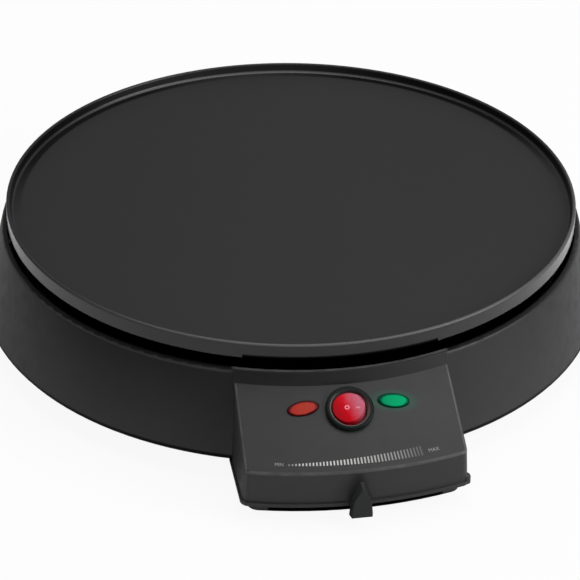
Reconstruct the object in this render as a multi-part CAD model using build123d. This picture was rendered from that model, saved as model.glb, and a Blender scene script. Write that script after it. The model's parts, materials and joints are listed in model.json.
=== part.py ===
from build123d import *
import os
from math import asin, atan2, cos, degrees, radians, sin, sqrt, tan

# Electric crepe maker. Millimetres, +Z up, table at z = 0, control box towards -Y.
# Pieces are modelled about the baking plate's own axis and then moved back as one, so that the
# origin lies on the table under the middle of the whole outline.
# A "bearing" is an angle about the plate's axis, from the front (-Y) towards +X, in degrees.

# ---------------------------------------------------------------- driving dimensions

# Baking plate
plate_radius = 150.0
plate_thickness = 3.7
rim_height = 5.0
rim_top_width = 2.0
rim_draft = 0.6
rim_foot_radius = 1.6
rim_edge_radius = 0.9
plate_relief_height = 1.9
plate_relief_depth = 1.6
plate_relief_side = 0.2

# Housing: lip, skirt and the gap under the plate
air_gap = 5.0
lip_clearance = 0.2
lip_width = 2.6
lip_radius = 2.4
lip_depth = 3.0
lip_shoulder = 1.0
skirt_height = 45.5
skirt_flare = 11.1
skirt_wall = 2.6
skirt_edge_chamfer = 1.2

# Control box
box_half_width = 52.6
box_side_draft = 2.5
box_front_reach = 45.5
box_front_draft = 0.5
box_wall = 2.5
box_corner_radius = 4.0
box_edge_radius = 1.6
box_skirt_step = 2.1
box_core_depth = 10.0
riser_height = 6.2
riser_top_step = 0.2
riser_draft = 1.9
riser_ledge = 0.8
panel_drop = 22.7
bead_height = 2.0
bead_depth = 0.8
lug_radius = 2.2
lug_height = 2.9
lug_inset = 0.85
lug_setback = 1.7

# Bottom tray
tray_floor = 1.8
tray_wall = 1.8
tray_setback = 15.9
tray_flange_clearance = 0.6
tray_box_clearance = 0.8
tray_corner_radius = 6.0
tray_wall_lap = 1.8
vent_width = 3.0
vent_length = 24.0
vent_setback = 78.0
vent_spacing = 10.0
vent_first_bearing = 50.0
vent_count = 9

# Feet
foot_height = 3.6
foot_radius = 8.0
foot_edge_chamfer = 0.8
foot_stem_radius = 2.8
foot_head_radius = 4.2
foot_head_height = 1.6
foot_head_chamfer = 0.7
foot_clearance = 0.1
rear_foot_inset = 23.0
rear_foot_bearing = 140.0
front_foot_inset = 3.0
front_foot_bearing = 14.5

# Thermostat lever
pivot_inset = 31.0
lever_swing = 17.5
arm_thickness = 2.2
arm_floor_gap = 0.5
arm_roof_gap = 0.6
arm_tip_half_width = 4.0
arm_tip_length = 10.0
arm_root_half_width = 7.0
arm_rib_width = 2.0
arm_rib_height = 4.9
arm_rib_chamfer = 3.9
arm_rib_setback = 4.0
hub_radius = 6.5
hub_gap = 1.7
spindle_radius = 3.0
spindle_flat = 1.8
spindle_pin_gap = 2.0
spindle_end_gap = 0.3
running_clearance = 0.05
pivot_pin_height = 10.0
slot_end_gap = 2.1
slot_roof_gap = 0.4
slot_sill = 0.95
slot_sill_depth = 3.6

# Pointer knob
knob_end_gap = 0.68
knob_rise = 0.4
knob_depth = 3.5
knob_half_width = 4.7
knob_foot_flare = 1.1
knob_shoulder_height = 10.2
knob_height = 18.4
knob_tip_half_width = 0.9
knob_front_tip_half_width = 0.15
knob_bevel = 0.8
knob_tip_slope = 2.3
spigot_length = 2.2
spigot_lap = 1.0
spigot_half_width = 3.0
spigot_thickness = 1.2
spigot_rise = 1.0

# Switch, a round rocker for a 20 mm panel hole
switch_riser_gap = 2.1
switch_turn = -11.0
rocker_radius = 7.8
rocker_pivot_depth = 1.2
rocker_crown = 2.3
rocker_depth = 5.6
rocker_floor_slope = 1.0
rocker_half_angle = 8.0
rocker_pin_radius = 1.2
rocker_pin_length = 1.2
rocker_pin_end_gap = 0.1
well_clearance = 0.3
well_depth = 9.0
funnel_width = 1.1
funnel_depth = 1.8
barrel_wall = 1.4
bezel_overhang = 1.8
bezel_height = 2.2
bezel_edge_radius = 1.0
bezel_throat_radius = 0.3
switch_hole_clearance = 0.2
switch_body_depth = 18.0
tab_width = 4.8
tab_thickness = 0.8
tab_length = 8.0
tab_spacing = 5.6

# Lamps
lamp_reach = 10.5
lamp_switch_gap = 2.83
lamp_splay = 12.1
lens_half_length = 7.6
lens_half_width = 3.7
lens_height = 0.9
lens_edge_radius = 0.6
lens_shoulder = 1.2
lens_seat_depth = 0.6
lens_seat_clearance = 0.25
lens_stem_depth = 7.0
lens_hole_clearance = 0.2
holder_wall = 1.4
holder_panel_gap = 0.15
holder_depth = 15.0
neon_radius = 1.9
neon_length = 8.0

# Heating element and its clips
element_inset = 44.0
element_tube_radius = 3.25
element_seat_depth = 0.5
element_end_bearing = 14.0
element_bend_radius = 10.0
element_leg = 8.0
ridge_end_bearing = 15.0
ridge_half_width = 7.0
ridge_height = 4.0
insulator_radius = 4.3
insulator_height = 4.0
blade_width = 6.3
clip_bearings = [90.0, 180.0, 270.0]
clip_boss_inset = 14.0
clip_boss_radius = 4.5
clip_width = 10.0
clip_corner_radius = 2.0
clip_thickness = 1.2
clip_reach = 4.5
clip_screw_bite = 4.5

# Heat shield and plate posts
shield_thickness = 0.8
shield_margin = 4.0
shield_rim_height = 4.0
shield_lean = 1.0
shield_bend_radius = 1.6
shield_opening_side = 4.0
shield_opening_end = 3.0
shield_leg_clearance = 2.0
post_outset = 14.0
post_bearings = [60.0, 180.0, 300.0]
post_boss_radius = 6.0
post_boss_height = 13.8
post_radius = 5.5
tray_boss_radius = 8.0
tray_boss_height = 6.6
counterbore_radius = 4.6
counterbore_roof = 3.4

# Thermostat
thermostat_half_length = 13.0
thermostat_half_width = 12.0
thermostat_height = 15.0
thermostat_corner_radius = 2.0
thermostat_groove = 1.2
thermostat_cap = 4.0
thermostat_pad_half_length = 24.0
thermostat_pad_half_width = 10.0
thermostat_pad_height = 4.0
thermostat_tab_rise = 4.0
bracket_inset = 1.0
bracket_corner_radius = 3.0
bracket_thickness = 1.2
bracket_screw_x = 18.5
bush_radius = 5.0
bush_length = 7.0
spindle_depth = 8.0

# Thermal fuse
fuse_x = 48.0
fuse_y = -52.0
fuse_radius = 2.1
fuse_length = 14.0
fuse_clip_width = 8.0
fuse_clip_thickness = 0.6
fuse_ear_length = 8.0
fuse_ear_lap = 0.1
fuse_screw_bite = 2.5

# Mains connection block, earth tag and cord inlet
block_foot_gap = 7.15
block_setback = 52.0
block_length = 34.0
block_width = 18.0
block_height = 15.0
block_corner_radius = 1.5
block_ways = 3
block_well_depth = 5.0
block_screw_length = 2.5
block_well_clearance = 0.4
block_wire_radius = 2.0
block_wire_height = 6.0
block_slit_width = 1.2
block_slit_depth = 3.0
earth_x = 30.0
earth_y = 60.0
earth_boss_radius = 4.5
earth_boss_height = 5.0
earth_ring_radius = 4.0
earth_blade_reach = 15.0
earth_screw_bite = 4.5
inlet_height = 14.0
inlet_hole_radius = 6.0
inlet_flange_radius = 8.5
inlet_flange = 2.4
inlet_edge_radius = 1.0
inlet_bore_radius = 3.8
inlet_clearance = 0.1
inlet_barb = 1.6
inlet_barb_length = 1.8
inlet_barb_gap = 0.2

# Screws
small_screw_radius = 1.5
small_head_radius = 2.8
small_head_height = 2.2
small_head_sink = 0.2
post_screw_radius = 2.0
post_head_radius = 3.9
post_head_height = 3.0
post_screw_bite = 9.0
screw_clearance = 0.2
pilot_clearance = 0.05
pilot_end_gap = 0.5
case_screw_bearings = [40.0, 90.0, 145.0, 215.0, 270.0, 320.0]
case_screw_inset = 9.4
case_boss_radius = 4.0
case_boss_height = 20.0
case_rib_thickness = 2.4
case_screw_bite = 12.0
box_pillar_inset = 7.1
box_pillar_setback = 27.5

# How far a cutting body runs past the face that it opens, and how far joined bodies lap
overcut = 1.0
lap = 0.5

# ---------------------------------------------------------------- heights and radii that follow

tray_z = foot_height
tray_top = tray_z + tray_floor
arm_z = tray_top + arm_floor_gap
arm_top = arm_z + arm_thickness
wall_z = arm_top + arm_roof_gap
skirt_z = wall_z + box_skirt_step
lip_z = skirt_z + skirt_height
plate_z = lip_z + air_gap
flat_z = plate_z + plate_thickness
rim_z = flat_z + rim_height

opening_radius = plate_radius + lip_clearance
lip_outer_radius = opening_radius + lip_width
skirt_radius = lip_outer_radius + skirt_flare
skirt_slope = skirt_flare / skirt_height
front_radius = plate_radius + box_front_reach
riser_top_radius = lip_outer_radius + riser_top_step
riser_foot_radius = riser_top_radius + riser_draft
riser_inner_radius = opening_radius + riser_ledge
panel_top_z = lip_z - riser_height
panel_front_z = panel_top_z - panel_drop
panel_slope = panel_drop / (front_radius - riser_foot_radius)
panel_angle = degrees(atan2(panel_drop, front_radius - riser_foot_radius))
panel_thickness_z = box_wall / cos(radians(panel_angle))
panel_middle_radius = (front_radius + riser_foot_radius) / 2.0
box_core_radius = opening_radius - box_core_depth

wall_outer_radius = front_radius + box_front_draft
wall_inner_radius = wall_outer_radius - box_wall
bead_radius = wall_outer_radius + bead_depth
tray_radius = skirt_radius - tray_setback
tray_front_radius = wall_inner_radius - tray_box_clearance
tray_half_width = box_half_width + box_side_draft - box_wall - tray_box_clearance
tray_rim_z = skirt_z + tray_wall_lap
flange_radius = skirt_radius - skirt_slope * tray_wall_lap - skirt_wall - tray_flange_clearance
vent_ring_radius = tray_radius - vent_setback
rear_foot_radius = tray_radius - rear_foot_inset
front_foot_radius = tray_radius - front_foot_inset
case_screw_radius_from_axis = skirt_radius - case_screw_inset
box_pillar_x = box_half_width - box_pillar_inset
box_pillar_y = front_radius - box_pillar_setback
block_y = tray_radius - block_setback
block_x = (
    foot_head_radius + block_foot_gap + block_length / 2.0
    - rear_foot_radius * sin(radians(rear_foot_bearing)))

element_radius = plate_radius - element_inset
clip_boss_radius_from_axis = element_radius - clip_boss_inset
post_radius_from_axis = element_radius + post_outset
pivot_offset = element_radius - pivot_inset
element_z = plate_z - ridge_height + element_seat_depth
clip_z = element_z - element_tube_radius - clip_thickness
shield_top = plate_z - post_boss_height
shield_z = shield_top - shield_thickness
shield_radius = opening_radius - shield_margin
tray_boss_top = tray_top + tray_boss_height
counterbore_depth = tray_boss_top - tray_z - counterbore_roof
bracket_z = plate_z - thermostat_pad_height - bracket_thickness
thermostat_z = bracket_z - thermostat_height
bush_z = thermostat_z - bush_length
hub_top = bush_z - hub_gap
pin_top = tray_top + pivot_pin_height
spindle_z = pin_top + spindle_pin_gap
spindle_top = thermostat_z + spindle_depth
spigot_z = arm_z + spigot_rise
earth_z = plate_z - earth_boss_height

# The slot lets the arm's tip reach both ends of its swing about the thermostat's pivot.
slot_top = arm_top + slot_roof_gap
arm_end_bearing = lever_swing - degrees(asin(pivot_offset * sin(radians(lever_swing)) / tray_front_radius))
slot_half_bearing = arm_end_bearing + degrees((arm_tip_half_width + slot_end_gap) / tray_front_radius)

# The knob turns about the pivot, not about the plate's axis, so the outer corner of its back comes
# closest to the bead at the ends of the swing. That corner keeps knob_end_gap there.
knob_foot_half_width = knob_half_width + knob_foot_flare
knob_reach_along = pivot_offset * cos(radians(lever_swing))
knob_reach_across = pivot_offset * sin(radians(lever_swing)) - knob_foot_half_width
knob_back = pivot_offset - knob_reach_along + sqrt(
    (bead_radius + knob_end_gap) ** 2 - knob_reach_across ** 2)
knob_front = knob_back + knob_depth
knob_z = arm_z + knob_rise

# The well clears the keel's edge, which swings out furthest when the rocker is tipped.
rocker_keel_drop = rocker_depth - rocker_floor_slope - rocker_pivot_depth
rocker_swing_radius = (
    rocker_radius * cos(radians(rocker_half_angle)) + rocker_keel_drop * sin(radians(rocker_half_angle)))
well_radius = rocker_swing_radius + well_clearance
funnel_radius = well_radius + funnel_width
switch_body_radius = well_radius + barrel_wall
bezel_radius = switch_body_radius + bezel_overhang
switch_hole_radius = switch_body_radius + switch_hole_clearance
switch_radius_from_axis = riser_foot_radius + (bezel_radius + switch_riser_gap) * cos(radians(panel_angle))
lamp_radius_from_axis = riser_foot_radius + lamp_reach
lamp_bearing = degrees((bezel_radius + lamp_switch_gap + lens_half_length) / lamp_radius_from_axis)
stem_half_length = lens_half_length - lens_shoulder
stem_half_width = lens_half_width - lens_shoulder

# The outline reaches further to the front, at the knob, than to the rear, at the inlet bush; this
# centres it on the origin.
inlet_radius_from_axis = skirt_radius - inlet_height * skirt_slope
inlet_lean = atan2(skirt_flare, skirt_height)
rear_reach = (
    inlet_radius_from_axis + inlet_edge_radius
    + (inlet_flange - inlet_edge_radius) * cos(inlet_lean)
    + (inlet_flange_radius - inlet_edge_radius) * sin(inlet_lean))
axis_y = (knob_front - rear_reach) / 2.0


# ---------------------------------------------------------------- helpers

def spun(points, corners=None):
    """Solid of revolution about the plate's axis, from (radius, height) points and corner radii."""
    outline = FilletPolyline(*points, radius=corners or [0.0] * len(points), close=True)
    return revolve(Plane.XZ * make_face(outline), Axis.Z)


def sector(inner, outer, low, high, half_bearing):
    """Piece of a ring about the plate's axis, centred on the front."""
    section = Plane.XZ * (Pos((inner + outer) / 2, (low + high) / 2) * Rectangle(outer - inner, high - low))
    return Rot(0, 0, -90 - half_bearing) * revolve(section, Axis.Z, 2 * half_bearing)


def at_bearing(radius, bearing, height=0.0):
    """Point at a distance from the plate's axis on a bearing."""
    angle = radians(bearing)
    return Vector(radius * sin(angle), -radius * cos(angle), height)


def upright(place, radius, low, high):
    """Round bar along Z, standing at a point."""
    return Pos(place.X, place.Y, low) * extrude(Circle(radius), high - low)


def tube(place, radius, bore, low, high):
    """Round tube along Z, standing at a point."""
    return upright(place, radius, low, high) - upright(place, bore, low - overcut, high + overcut)


def block(x, y, half_x, half_y, low, high, corner=0.0):
    """Upright block about a point in plan, with rounded upright edges."""
    plan = RectangleRounded(2 * half_x, 2 * half_y, corner) if corner else Rectangle(2 * half_x, 2 * half_y)
    return Pos(x, y, low) * extrude(plan, high - low)


def screw(place, shank, head, head_height, seat, tip):
    """Pan head screw along Z, its head's upper face on the seat height and its tip above."""
    return upright(place, shank, seat, tip) + upright(place, head, seat - head_height, seat)


def small_screw(place, seat, tip):
    """One of the small screws, which are all alike but for their length."""
    return screw(place, small_screw_radius, small_head_radius, small_head_height, seat, tip)


def small_pilot(place, low, tip):
    """Blind hole for a small screw, open at its lower end."""
    return upright(place, small_screw_radius + pilot_clearance, low - overcut, tip + pilot_end_gap)


def small_way(place, low, high):
    """Clearance hole for a small screw."""
    return upright(place, small_screw_radius + screw_clearance, low - overcut, high + overcut)


def panel_height(radius):
    """Height of the conical control panel at a distance from the plate's axis."""
    return panel_front_z + (front_radius - radius) * panel_slope


def cone_place(radius, height, bearing, slope_angle, turn=0.0):
    """Location on a cone about the plate's axis: x along the arc, y up the slope, z outwards."""
    outward = at_bearing(1.0, bearing)
    normal = outward * sin(radians(slope_angle)) + Vector(0, 0, cos(radians(slope_angle)))
    across = Vector(cos(radians(bearing)), sin(radians(bearing)), 0)
    plane = Plane(origin=outward * radius + Vector(0, 0, height), x_dir=across, z_dir=normal)
    return Location(plane) * Location((0, 0, 0), (0, 0, turn))


def panel_place(radius, bearing, turn=0.0):
    """Location on the control panel."""
    return cone_place(radius, panel_height(radius), bearing, panel_angle, turn)


def switch_place():
    """Location of the switch, which is turned a little in its round hole."""
    return panel_place(switch_radius_from_axis, 0, switch_turn)


def lamp_places():
    """Locations of the red lamp at the left and the green lamp at the right."""
    return [
        panel_place(lamp_radius_from_axis, side * lamp_bearing, -side * lamp_splay)
        for side in (-1, 1)]


def inlet_place():
    """Location of the cord inlet, square to the skirt at the rear."""
    return cone_place(inlet_radius_from_axis, skirt_z + inlet_height, 180.0, 90.0 - degrees(inlet_lean))


def joined(shapes):
    """All the shapes as one, each a solid of its own where they lie apart."""
    total = shapes[0]
    for shape in shapes[1:]:
        total = total + shape
    return total


def front_corners(solid, height):
    """Edges further forward than the middle of the panel that rise by more than a height."""
    return [
        edge for edge in solid.edges()
        if edge.center().Y < -panel_middle_radius and edge.bounding_box().size.Z > height]


# ---------------------------------------------------------------- places that several pieces share

def pivot_place():
    return Vector(0, -pivot_offset)


def post_places():
    return [at_bearing(post_radius_from_axis, bearing) for bearing in post_bearings]


def clip_screw_places():
    return [at_bearing(clip_boss_radius_from_axis, bearing) for bearing in clip_bearings]


def bracket_screw_places():
    return [Vector(side * bracket_screw_x, -pivot_offset) for side in (-1, 1)]


def earth_place():
    return Vector(earth_x, earth_y)


def fuse_ear_place():
    return Vector(fuse_x + fuse_radius + fuse_clip_thickness + fuse_ear_length / 2, fuse_y)


def element_leg_places():
    """Points in plan where the element's two ends come down."""
    way = Vector(cos(radians(element_end_bearing)), sin(radians(element_end_bearing)), 0)
    right = at_bearing(element_radius, element_end_bearing) - way * element_bend_radius
    return [right, Vector(-right.X, right.Y, 0)]


def pillar_screw_seat():
    """Height of the step that the pillar screws' sunk heads bear on."""
    return tray_z + small_head_height + small_head_sink


def case_boss_places():
    """Screw bosses around the skirt."""
    return [at_bearing(case_screw_radius_from_axis, bearing) for bearing in case_screw_bearings]


def box_pillar_places():
    """Screw pillars in the control box."""
    return [Vector(side * box_pillar_x, -box_pillar_y) for side in (-1, 1)]


def foot_places():
    """Rear left, rear right, front left and front right foot."""
    rear = [at_bearing(rear_foot_radius, side * rear_foot_bearing) for side in (-1, 1)]
    front = [at_bearing(front_foot_radius, side * front_foot_bearing) for side in (-1, 1)]
    return rear + front


# ---------------------------------------------------------------- baking plate

def plate_underside_features():
    """Cast bosses, the element ridge and the thermostat's pad under the plate."""
    root = plate_z + lap
    ridge = Rot(0, 0, 180) * sector(
        element_radius - ridge_half_width, element_radius + ridge_half_width,
        plate_z - ridge_height, root, 180.0 - ridge_end_bearing)
    pad = block(
        0, -pivot_offset, thermostat_pad_half_length, thermostat_pad_half_width,
        plate_z - thermostat_pad_height, root, bracket_corner_radius)
    features = [ridge, pad, upright(earth_place(), earth_boss_radius, earth_z, root)]
    features += [upright(place, post_boss_radius, shield_top, root) for place in post_places()]
    features += [
        upright(place, clip_boss_radius, clip_z + clip_thickness, root)
        for place in clip_screw_places()]
    return joined(features)


def plate_holes():
    """Blind screw holes in the underside, and the half-round seat for the element."""
    seat = Pos(element_radius, element_z) * Circle(element_tube_radius + running_clearance)
    holes = [revolve(Plane.XZ * seat, Axis.Z)]
    holes += [
        upright(place, post_screw_radius + pilot_clearance, shield_top - overcut,
                shield_top + post_screw_bite + pilot_end_gap)
        for place in post_places()]
    holes += [
        small_pilot(place, clip_z + clip_thickness, clip_z + clip_thickness + clip_screw_bite)
        for place in clip_screw_places()]
    holes += [small_pilot(place, bracket_z, plate_z) for place in bracket_screw_places()]
    holes.append(small_pilot(earth_place(), earth_z, earth_z + earth_screw_bite))
    holes.append(small_pilot(fuse_ear_place(), plate_z, plate_z + fuse_screw_bite))
    return joined(holes)


def relief_notch():
    """Low relief in the plate's lower edge above the control box."""
    half_bearing = degrees(atan2(box_half_width - plate_relief_side, riser_foot_radius))
    return sector(
        plate_radius - plate_relief_depth, plate_radius + overcut,
        plate_z - overcut, plate_z + plate_relief_height, half_bearing)


def baking_plate():
    inner = plate_radius - rim_top_width
    disc = spun(
        [
            (0, plate_z),
            (plate_radius, plate_z),
            (plate_radius, rim_z),
            (inner, rim_z),
            (inner - rim_draft, flat_z),
            (0, flat_z),
        ],
        [0, rim_edge_radius, rim_edge_radius, rim_edge_radius, rim_foot_radius, 0],
    )
    return disc + plate_underside_features() - plate_holes() - relief_notch()


# ---------------------------------------------------------------- heating element

def element_tube():
    """Ring of sheathed tube under the plate, with both ends bent down at the front."""
    bend = element_bend_radius
    start = at_bearing(element_radius, element_end_bearing, element_z)
    end = at_bearing(element_radius, -element_end_bearing, element_z)
    start_way = Vector(cos(radians(element_end_bearing)), sin(radians(element_end_bearing)), 0)
    end_way = Vector(start_way.X, -start_way.Y, 0)
    start_low = start - start_way * bend - Vector(0, 0, bend)
    end_low = end + end_way * bend - Vector(0, 0, bend)
    leg = Vector(0, 0, element_leg)
    path = Wire([
        Line(start_low - leg, start_low).edge(),
        TangentArc(start_low, start, tangent=(0, 0, 1)).edge(),
        ThreePointArc(start, at_bearing(element_radius, 180.0, element_z), end).edge(),
        TangentArc(end, end_low, tangent=(-end_way.X, -end_way.Y, 0)).edge(),
        Line(end_low, end_low - leg).edge(),
    ])
    section = Plane(origin=start_low - leg, z_dir=(0, 0, 1)) * Circle(element_tube_radius)
    return sweep(section, path=path)


def element_leg_end():
    return element_z - element_bend_radius - element_leg


def element_insulators():
    high = element_leg_end()
    return joined([
        upright(place, insulator_radius, high - insulator_height, high)
        for place in element_leg_places()])


def element_tabs():
    high = element_leg_end() - insulator_height
    return joined([
        block(place.X, place.Y, blade_width / 2, tab_thickness / 2, high - tab_length, high)
        for place in element_leg_places()])


def element_clip(bearing):
    """Flat strap that presses the element up into its seat."""
    inner = clip_boss_radius_from_axis - clip_reach
    outer = element_radius + clip_reach
    strap = Pos(0, -(inner + outer) / 2, clip_z) * extrude(
        RectangleRounded(clip_width, outer - inner, clip_corner_radius), clip_thickness)
    hole = small_way(at_bearing(clip_boss_radius_from_axis, 0), clip_z, clip_z + clip_thickness)
    return Rot(0, 0, bearing) * (strap - hole)


def element_clips():
    return joined([element_clip(bearing) for bearing in clip_bearings])


def clip_screws():
    tip = clip_z + clip_thickness + clip_screw_bite
    return joined([small_screw(place, clip_z, tip) for place in clip_screw_places()])


# ---------------------------------------------------------------- heat shield and posts

def heat_shield():
    """Dished reflector under the element, with openings for what passes through it."""
    low, top, rim = shield_z, shield_top, shield_z + shield_rim_height
    foot_radius = shield_radius - shield_lean
    dish = spun(
        [
            (0, low),
            (foot_radius, low),
            (shield_radius, rim),
            (shield_radius - shield_thickness, rim),
            (foot_radius - shield_thickness, top),
            (0, top),
        ],
        [0, shield_bend_radius, 0, 0, shield_bend_radius - shield_thickness, 0],
    )
    openings = [block(
        0, -pivot_offset,
        thermostat_half_length + shield_opening_side, thermostat_half_width + shield_opening_end,
        low - overcut, top + overcut, bracket_corner_radius)]
    openings += [
        upright(place, element_tube_radius + shield_leg_clearance, low - overcut, top + overcut)
        for place in element_leg_places()]
    openings += [
        upright(place, post_screw_radius + screw_clearance, low - overcut, top + overcut)
        for place in post_places()]
    return dish - joined(openings)


def plate_post(place):
    return tube(place, post_radius, post_screw_radius + screw_clearance, tray_boss_top, shield_z)


def plate_screws():
    """Long screws up through the tray, the posts and the shield into the plate."""
    return joined([
        screw(place, post_screw_radius, post_head_radius, post_head_height,
              tray_z + counterbore_depth, shield_top + post_screw_bite)
        for place in post_places()])


# ---------------------------------------------------------------- thermostat and its lever

def thermostat_bracket():
    high = bracket_z + bracket_thickness
    plate = block(
        0, -pivot_offset,
        thermostat_pad_half_length - bracket_inset, thermostat_pad_half_width - bracket_inset,
        bracket_z, high, bracket_corner_radius)
    return plate - joined([small_way(place, bracket_z, high) for place in bracket_screw_places()])


def bracket_screws():
    return joined([small_screw(place, bracket_z, plate_z) for place in bracket_screw_places()])


def thermostat_body():
    """Ceramic body with a threaded bush, bored for the spindle."""
    body = block(
        0, -pivot_offset, thermostat_half_length, thermostat_half_width,
        thermostat_z, bracket_z, thermostat_corner_radius)
    for x in (-thermostat_half_length, thermostat_half_length):
        body = body - block(
            x, -pivot_offset, thermostat_groove, thermostat_half_width / 2,
            thermostat_z - overcut, bracket_z - thermostat_cap)
    body = body + upright(pivot_place(), bush_radius, bush_z, thermostat_z)
    return body - upright(
        pivot_place(), spindle_radius + running_clearance, bush_z - overcut, spindle_top + spindle_end_gap)


def thermostat_tabs():
    """Two blades that stand out of the thermostat's sides."""
    low = thermostat_z + thermostat_tab_rise
    middle = thermostat_half_length - thermostat_groove + tab_length / 2
    return joined([
        block(side * middle, -pivot_offset, tab_length / 2, tab_width / 2, low, low + tab_thickness)
        for side in (-1, 1)])


def spindle_flat_cut(low, high, clearance=0.0):
    """What the spindle's flat takes off a round bar, with its face moved out by a clearance."""
    face = -pivot_offset + spindle_flat + clearance
    return block(0, face + spindle_radius, 2 * spindle_radius, spindle_radius, low, high)


def thermostat_spindle():
    """Spindle with a flat along the stretch that the lever's hub grips."""
    return upright(pivot_place(), spindle_radius, spindle_z, spindle_top) - spindle_flat_cut(
        spindle_z - overcut, hub_top)


def lever_spigot(clearance=0.0):
    """Tongue at the arm's end that the knob is pushed onto; the clearance makes its pocket."""
    length = spigot_length + clearance + spigot_lap
    return block(
        0, -knob_back - length / 2 + spigot_lap, spigot_half_width + clearance, length / 2,
        spigot_z - clearance, spigot_z + spigot_thickness + clearance)


def lever_bore():
    """Round below for the tray's pin, with a flat above for the spindle."""
    radius = spindle_radius + running_clearance
    middle = spindle_z - spindle_pin_gap / 2
    lower = upright(pivot_place(), radius, arm_z - overcut, middle)
    upper = upright(pivot_place(), radius, middle - lap, hub_top + overcut)
    return lower + (upper - spindle_flat_cut(middle - overcut, hub_top + 2 * overcut, running_clearance))


def lever_arm():
    """Hub and long flat arm, with a stiffening rib and a spigot for the pointer knob."""
    shoulder = tray_front_radius - arm_tip_length
    root, tip = arm_root_half_width, arm_tip_half_width
    plan = make_face(Polyline(
        (-root, -pivot_offset), (-tip, -shoulder), (-tip, -knob_back),
        (tip, -knob_back), (tip, -shoulder), (root, -pivot_offset), close=True))
    arm = Pos(0, 0, arm_z) * extrude(plan, arm_thickness)
    rib_length = shoulder - arm_rib_setback - pivot_offset
    rib = block(
        0, -pivot_offset - rib_length / 2, arm_rib_width / 2, rib_length / 2,
        arm_top - lap, arm_top + arm_rib_height)
    rib = chamfer(rib.edges().group_by(Axis.Z)[-1].group_by(Axis.Y)[0], arm_rib_chamfer)
    hub = upright(pivot_place(), hub_radius, arm_z, hub_top)
    return arm + rib + hub + lever_spigot() - lever_bore()


def pointer_knob():
    """Arrow-shaped knob with bevelled sides, in front of the control box wall."""
    def outline(depth, half_width, shoulder, top, tip):
        foot = half_width + knob_foot_flare
        face = make_face(Polyline(
            (-foot, knob_z), (foot, knob_z), (half_width, shoulder),
            (tip, top), (-tip, top), (-half_width, shoulder), close=True))
        return Plane.XZ.offset(depth) * face
    shoulder = knob_z + knob_shoulder_height
    top = knob_z + knob_height
    back = outline(knob_back, knob_half_width, shoulder, top, knob_tip_half_width)
    front = outline(
        knob_front, knob_half_width - knob_bevel, shoulder - knob_bevel / 2, top - knob_tip_slope,
        knob_front_tip_half_width)
    return loft([back, front], ruled=True) - lever_spigot(running_clearance)


# ---------------------------------------------------------------- housing

def box_prism(half_low, half_high, low, high):
    """Wedge in front of the axis, narrower at the top, that bounds the control box's sides."""
    outline = make_face(Polyline(
        (-half_low, low), (half_low, low), (half_high, high), (-half_high, high), close=True))
    return extrude(Plane.XZ * outline, bead_radius + overcut)


def control_box_solid():
    """Outside of the riser, the control panel and the front wall."""
    solid = spun([
        (box_core_radius, wall_z),
        (wall_outer_radius, wall_z),
        (front_radius, panel_front_z),
        (riser_foot_radius, panel_top_z),
        (riser_top_radius, lip_z),
        (box_core_radius, lip_z),
    ]) & box_prism(box_half_width + box_side_draft, box_half_width, wall_z, lip_z)
    solid = fillet(front_corners(solid, (panel_front_z - wall_z) / 2), box_corner_radius)
    cones = [face for face in solid.faces() if face.geom_type == GeomType.CONE]
    panel = max(cones, key=lambda face: face.area)
    panel_edges = [edge for edge in panel.edges() if edge.center().Y < -riser_foot_radius - box_edge_radius]
    return fillet(panel_edges, box_edge_radius)


def control_box_hollow():
    """Space in the control box, one wall in from its outside and open below."""
    inner_front = front_radius - box_wall
    ceiling = panel_height(riser_inner_radius) - panel_thickness_z
    spun_hollow = spun([
        (box_core_radius, wall_z - overcut),
        (wall_inner_radius, wall_z - overcut),
        (wall_inner_radius, wall_z),
        (inner_front, panel_height(inner_front) - panel_thickness_z),
        (riser_inner_radius, ceiling),
        (box_core_radius, ceiling),
    ])
    half = box_half_width - box_wall
    draft_below = overcut * box_side_draft / (lip_z - wall_z)
    hollow = spun_hollow & box_prism(half + box_side_draft + draft_below, half, wall_z - overcut, lip_z)
    return fillet(front_corners(hollow, (panel_front_z - wall_z) / 2), box_corner_radius - box_wall)


def box_bead():
    """Small bead along the lower edge of the control box walls."""
    half = box_half_width + box_side_draft + bead_depth
    bead = spun([
        (box_core_radius, wall_z), (bead_radius, wall_z), (bead_radius, wall_z + bead_height),
        (box_core_radius, wall_z + bead_height),
    ]) & box_prism(half, half, wall_z, wall_z + bead_height)
    return fillet(front_corners(bead, bead_height / 2), box_corner_radius + bead_depth)


def corner_lug():
    """Small round lug low on the right front corner."""
    half = box_half_width + box_side_draft
    corner_y = -sqrt(wall_outer_radius ** 2 - half ** 2)
    place = Vector(half - lug_inset, corner_y + lug_setback)
    return upright(place, lug_radius, wall_z, wall_z + lug_height) + Pos(
        place.X, place.Y, wall_z + lug_height) * Sphere(lug_radius)


def housing_round():
    """Outside of the lip and the skirt, with a chamfer that turns the skirt's lower edge in."""
    return spun(
        [
            (0, skirt_z),
            (skirt_radius - skirt_edge_chamfer, skirt_z),
            (skirt_radius - skirt_slope * skirt_edge_chamfer, skirt_z + skirt_edge_chamfer),
            (lip_outer_radius, lip_z),
            (0, lip_z),
        ],
        [0, 0, 0, lip_radius, 0],
    )


def housing_hollow():
    """Space in the skirt, one wall in, with a shoulder below the lip's upright inner face."""
    shoulder_z = lip_z - lip_depth
    wall_top_z = shoulder_z - lip_shoulder
    wall_foot_radius = skirt_radius - skirt_wall
    return spun([
        (0, tray_z - overcut),
        (wall_foot_radius, tray_z - overcut),
        (wall_foot_radius, skirt_z),
        (wall_foot_radius - (wall_top_z - skirt_z) * skirt_slope, wall_top_z),
        (opening_radius, shoulder_z),
        (opening_radius, lip_z + overcut),
        (0, lip_z + overcut),
    ])


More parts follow.
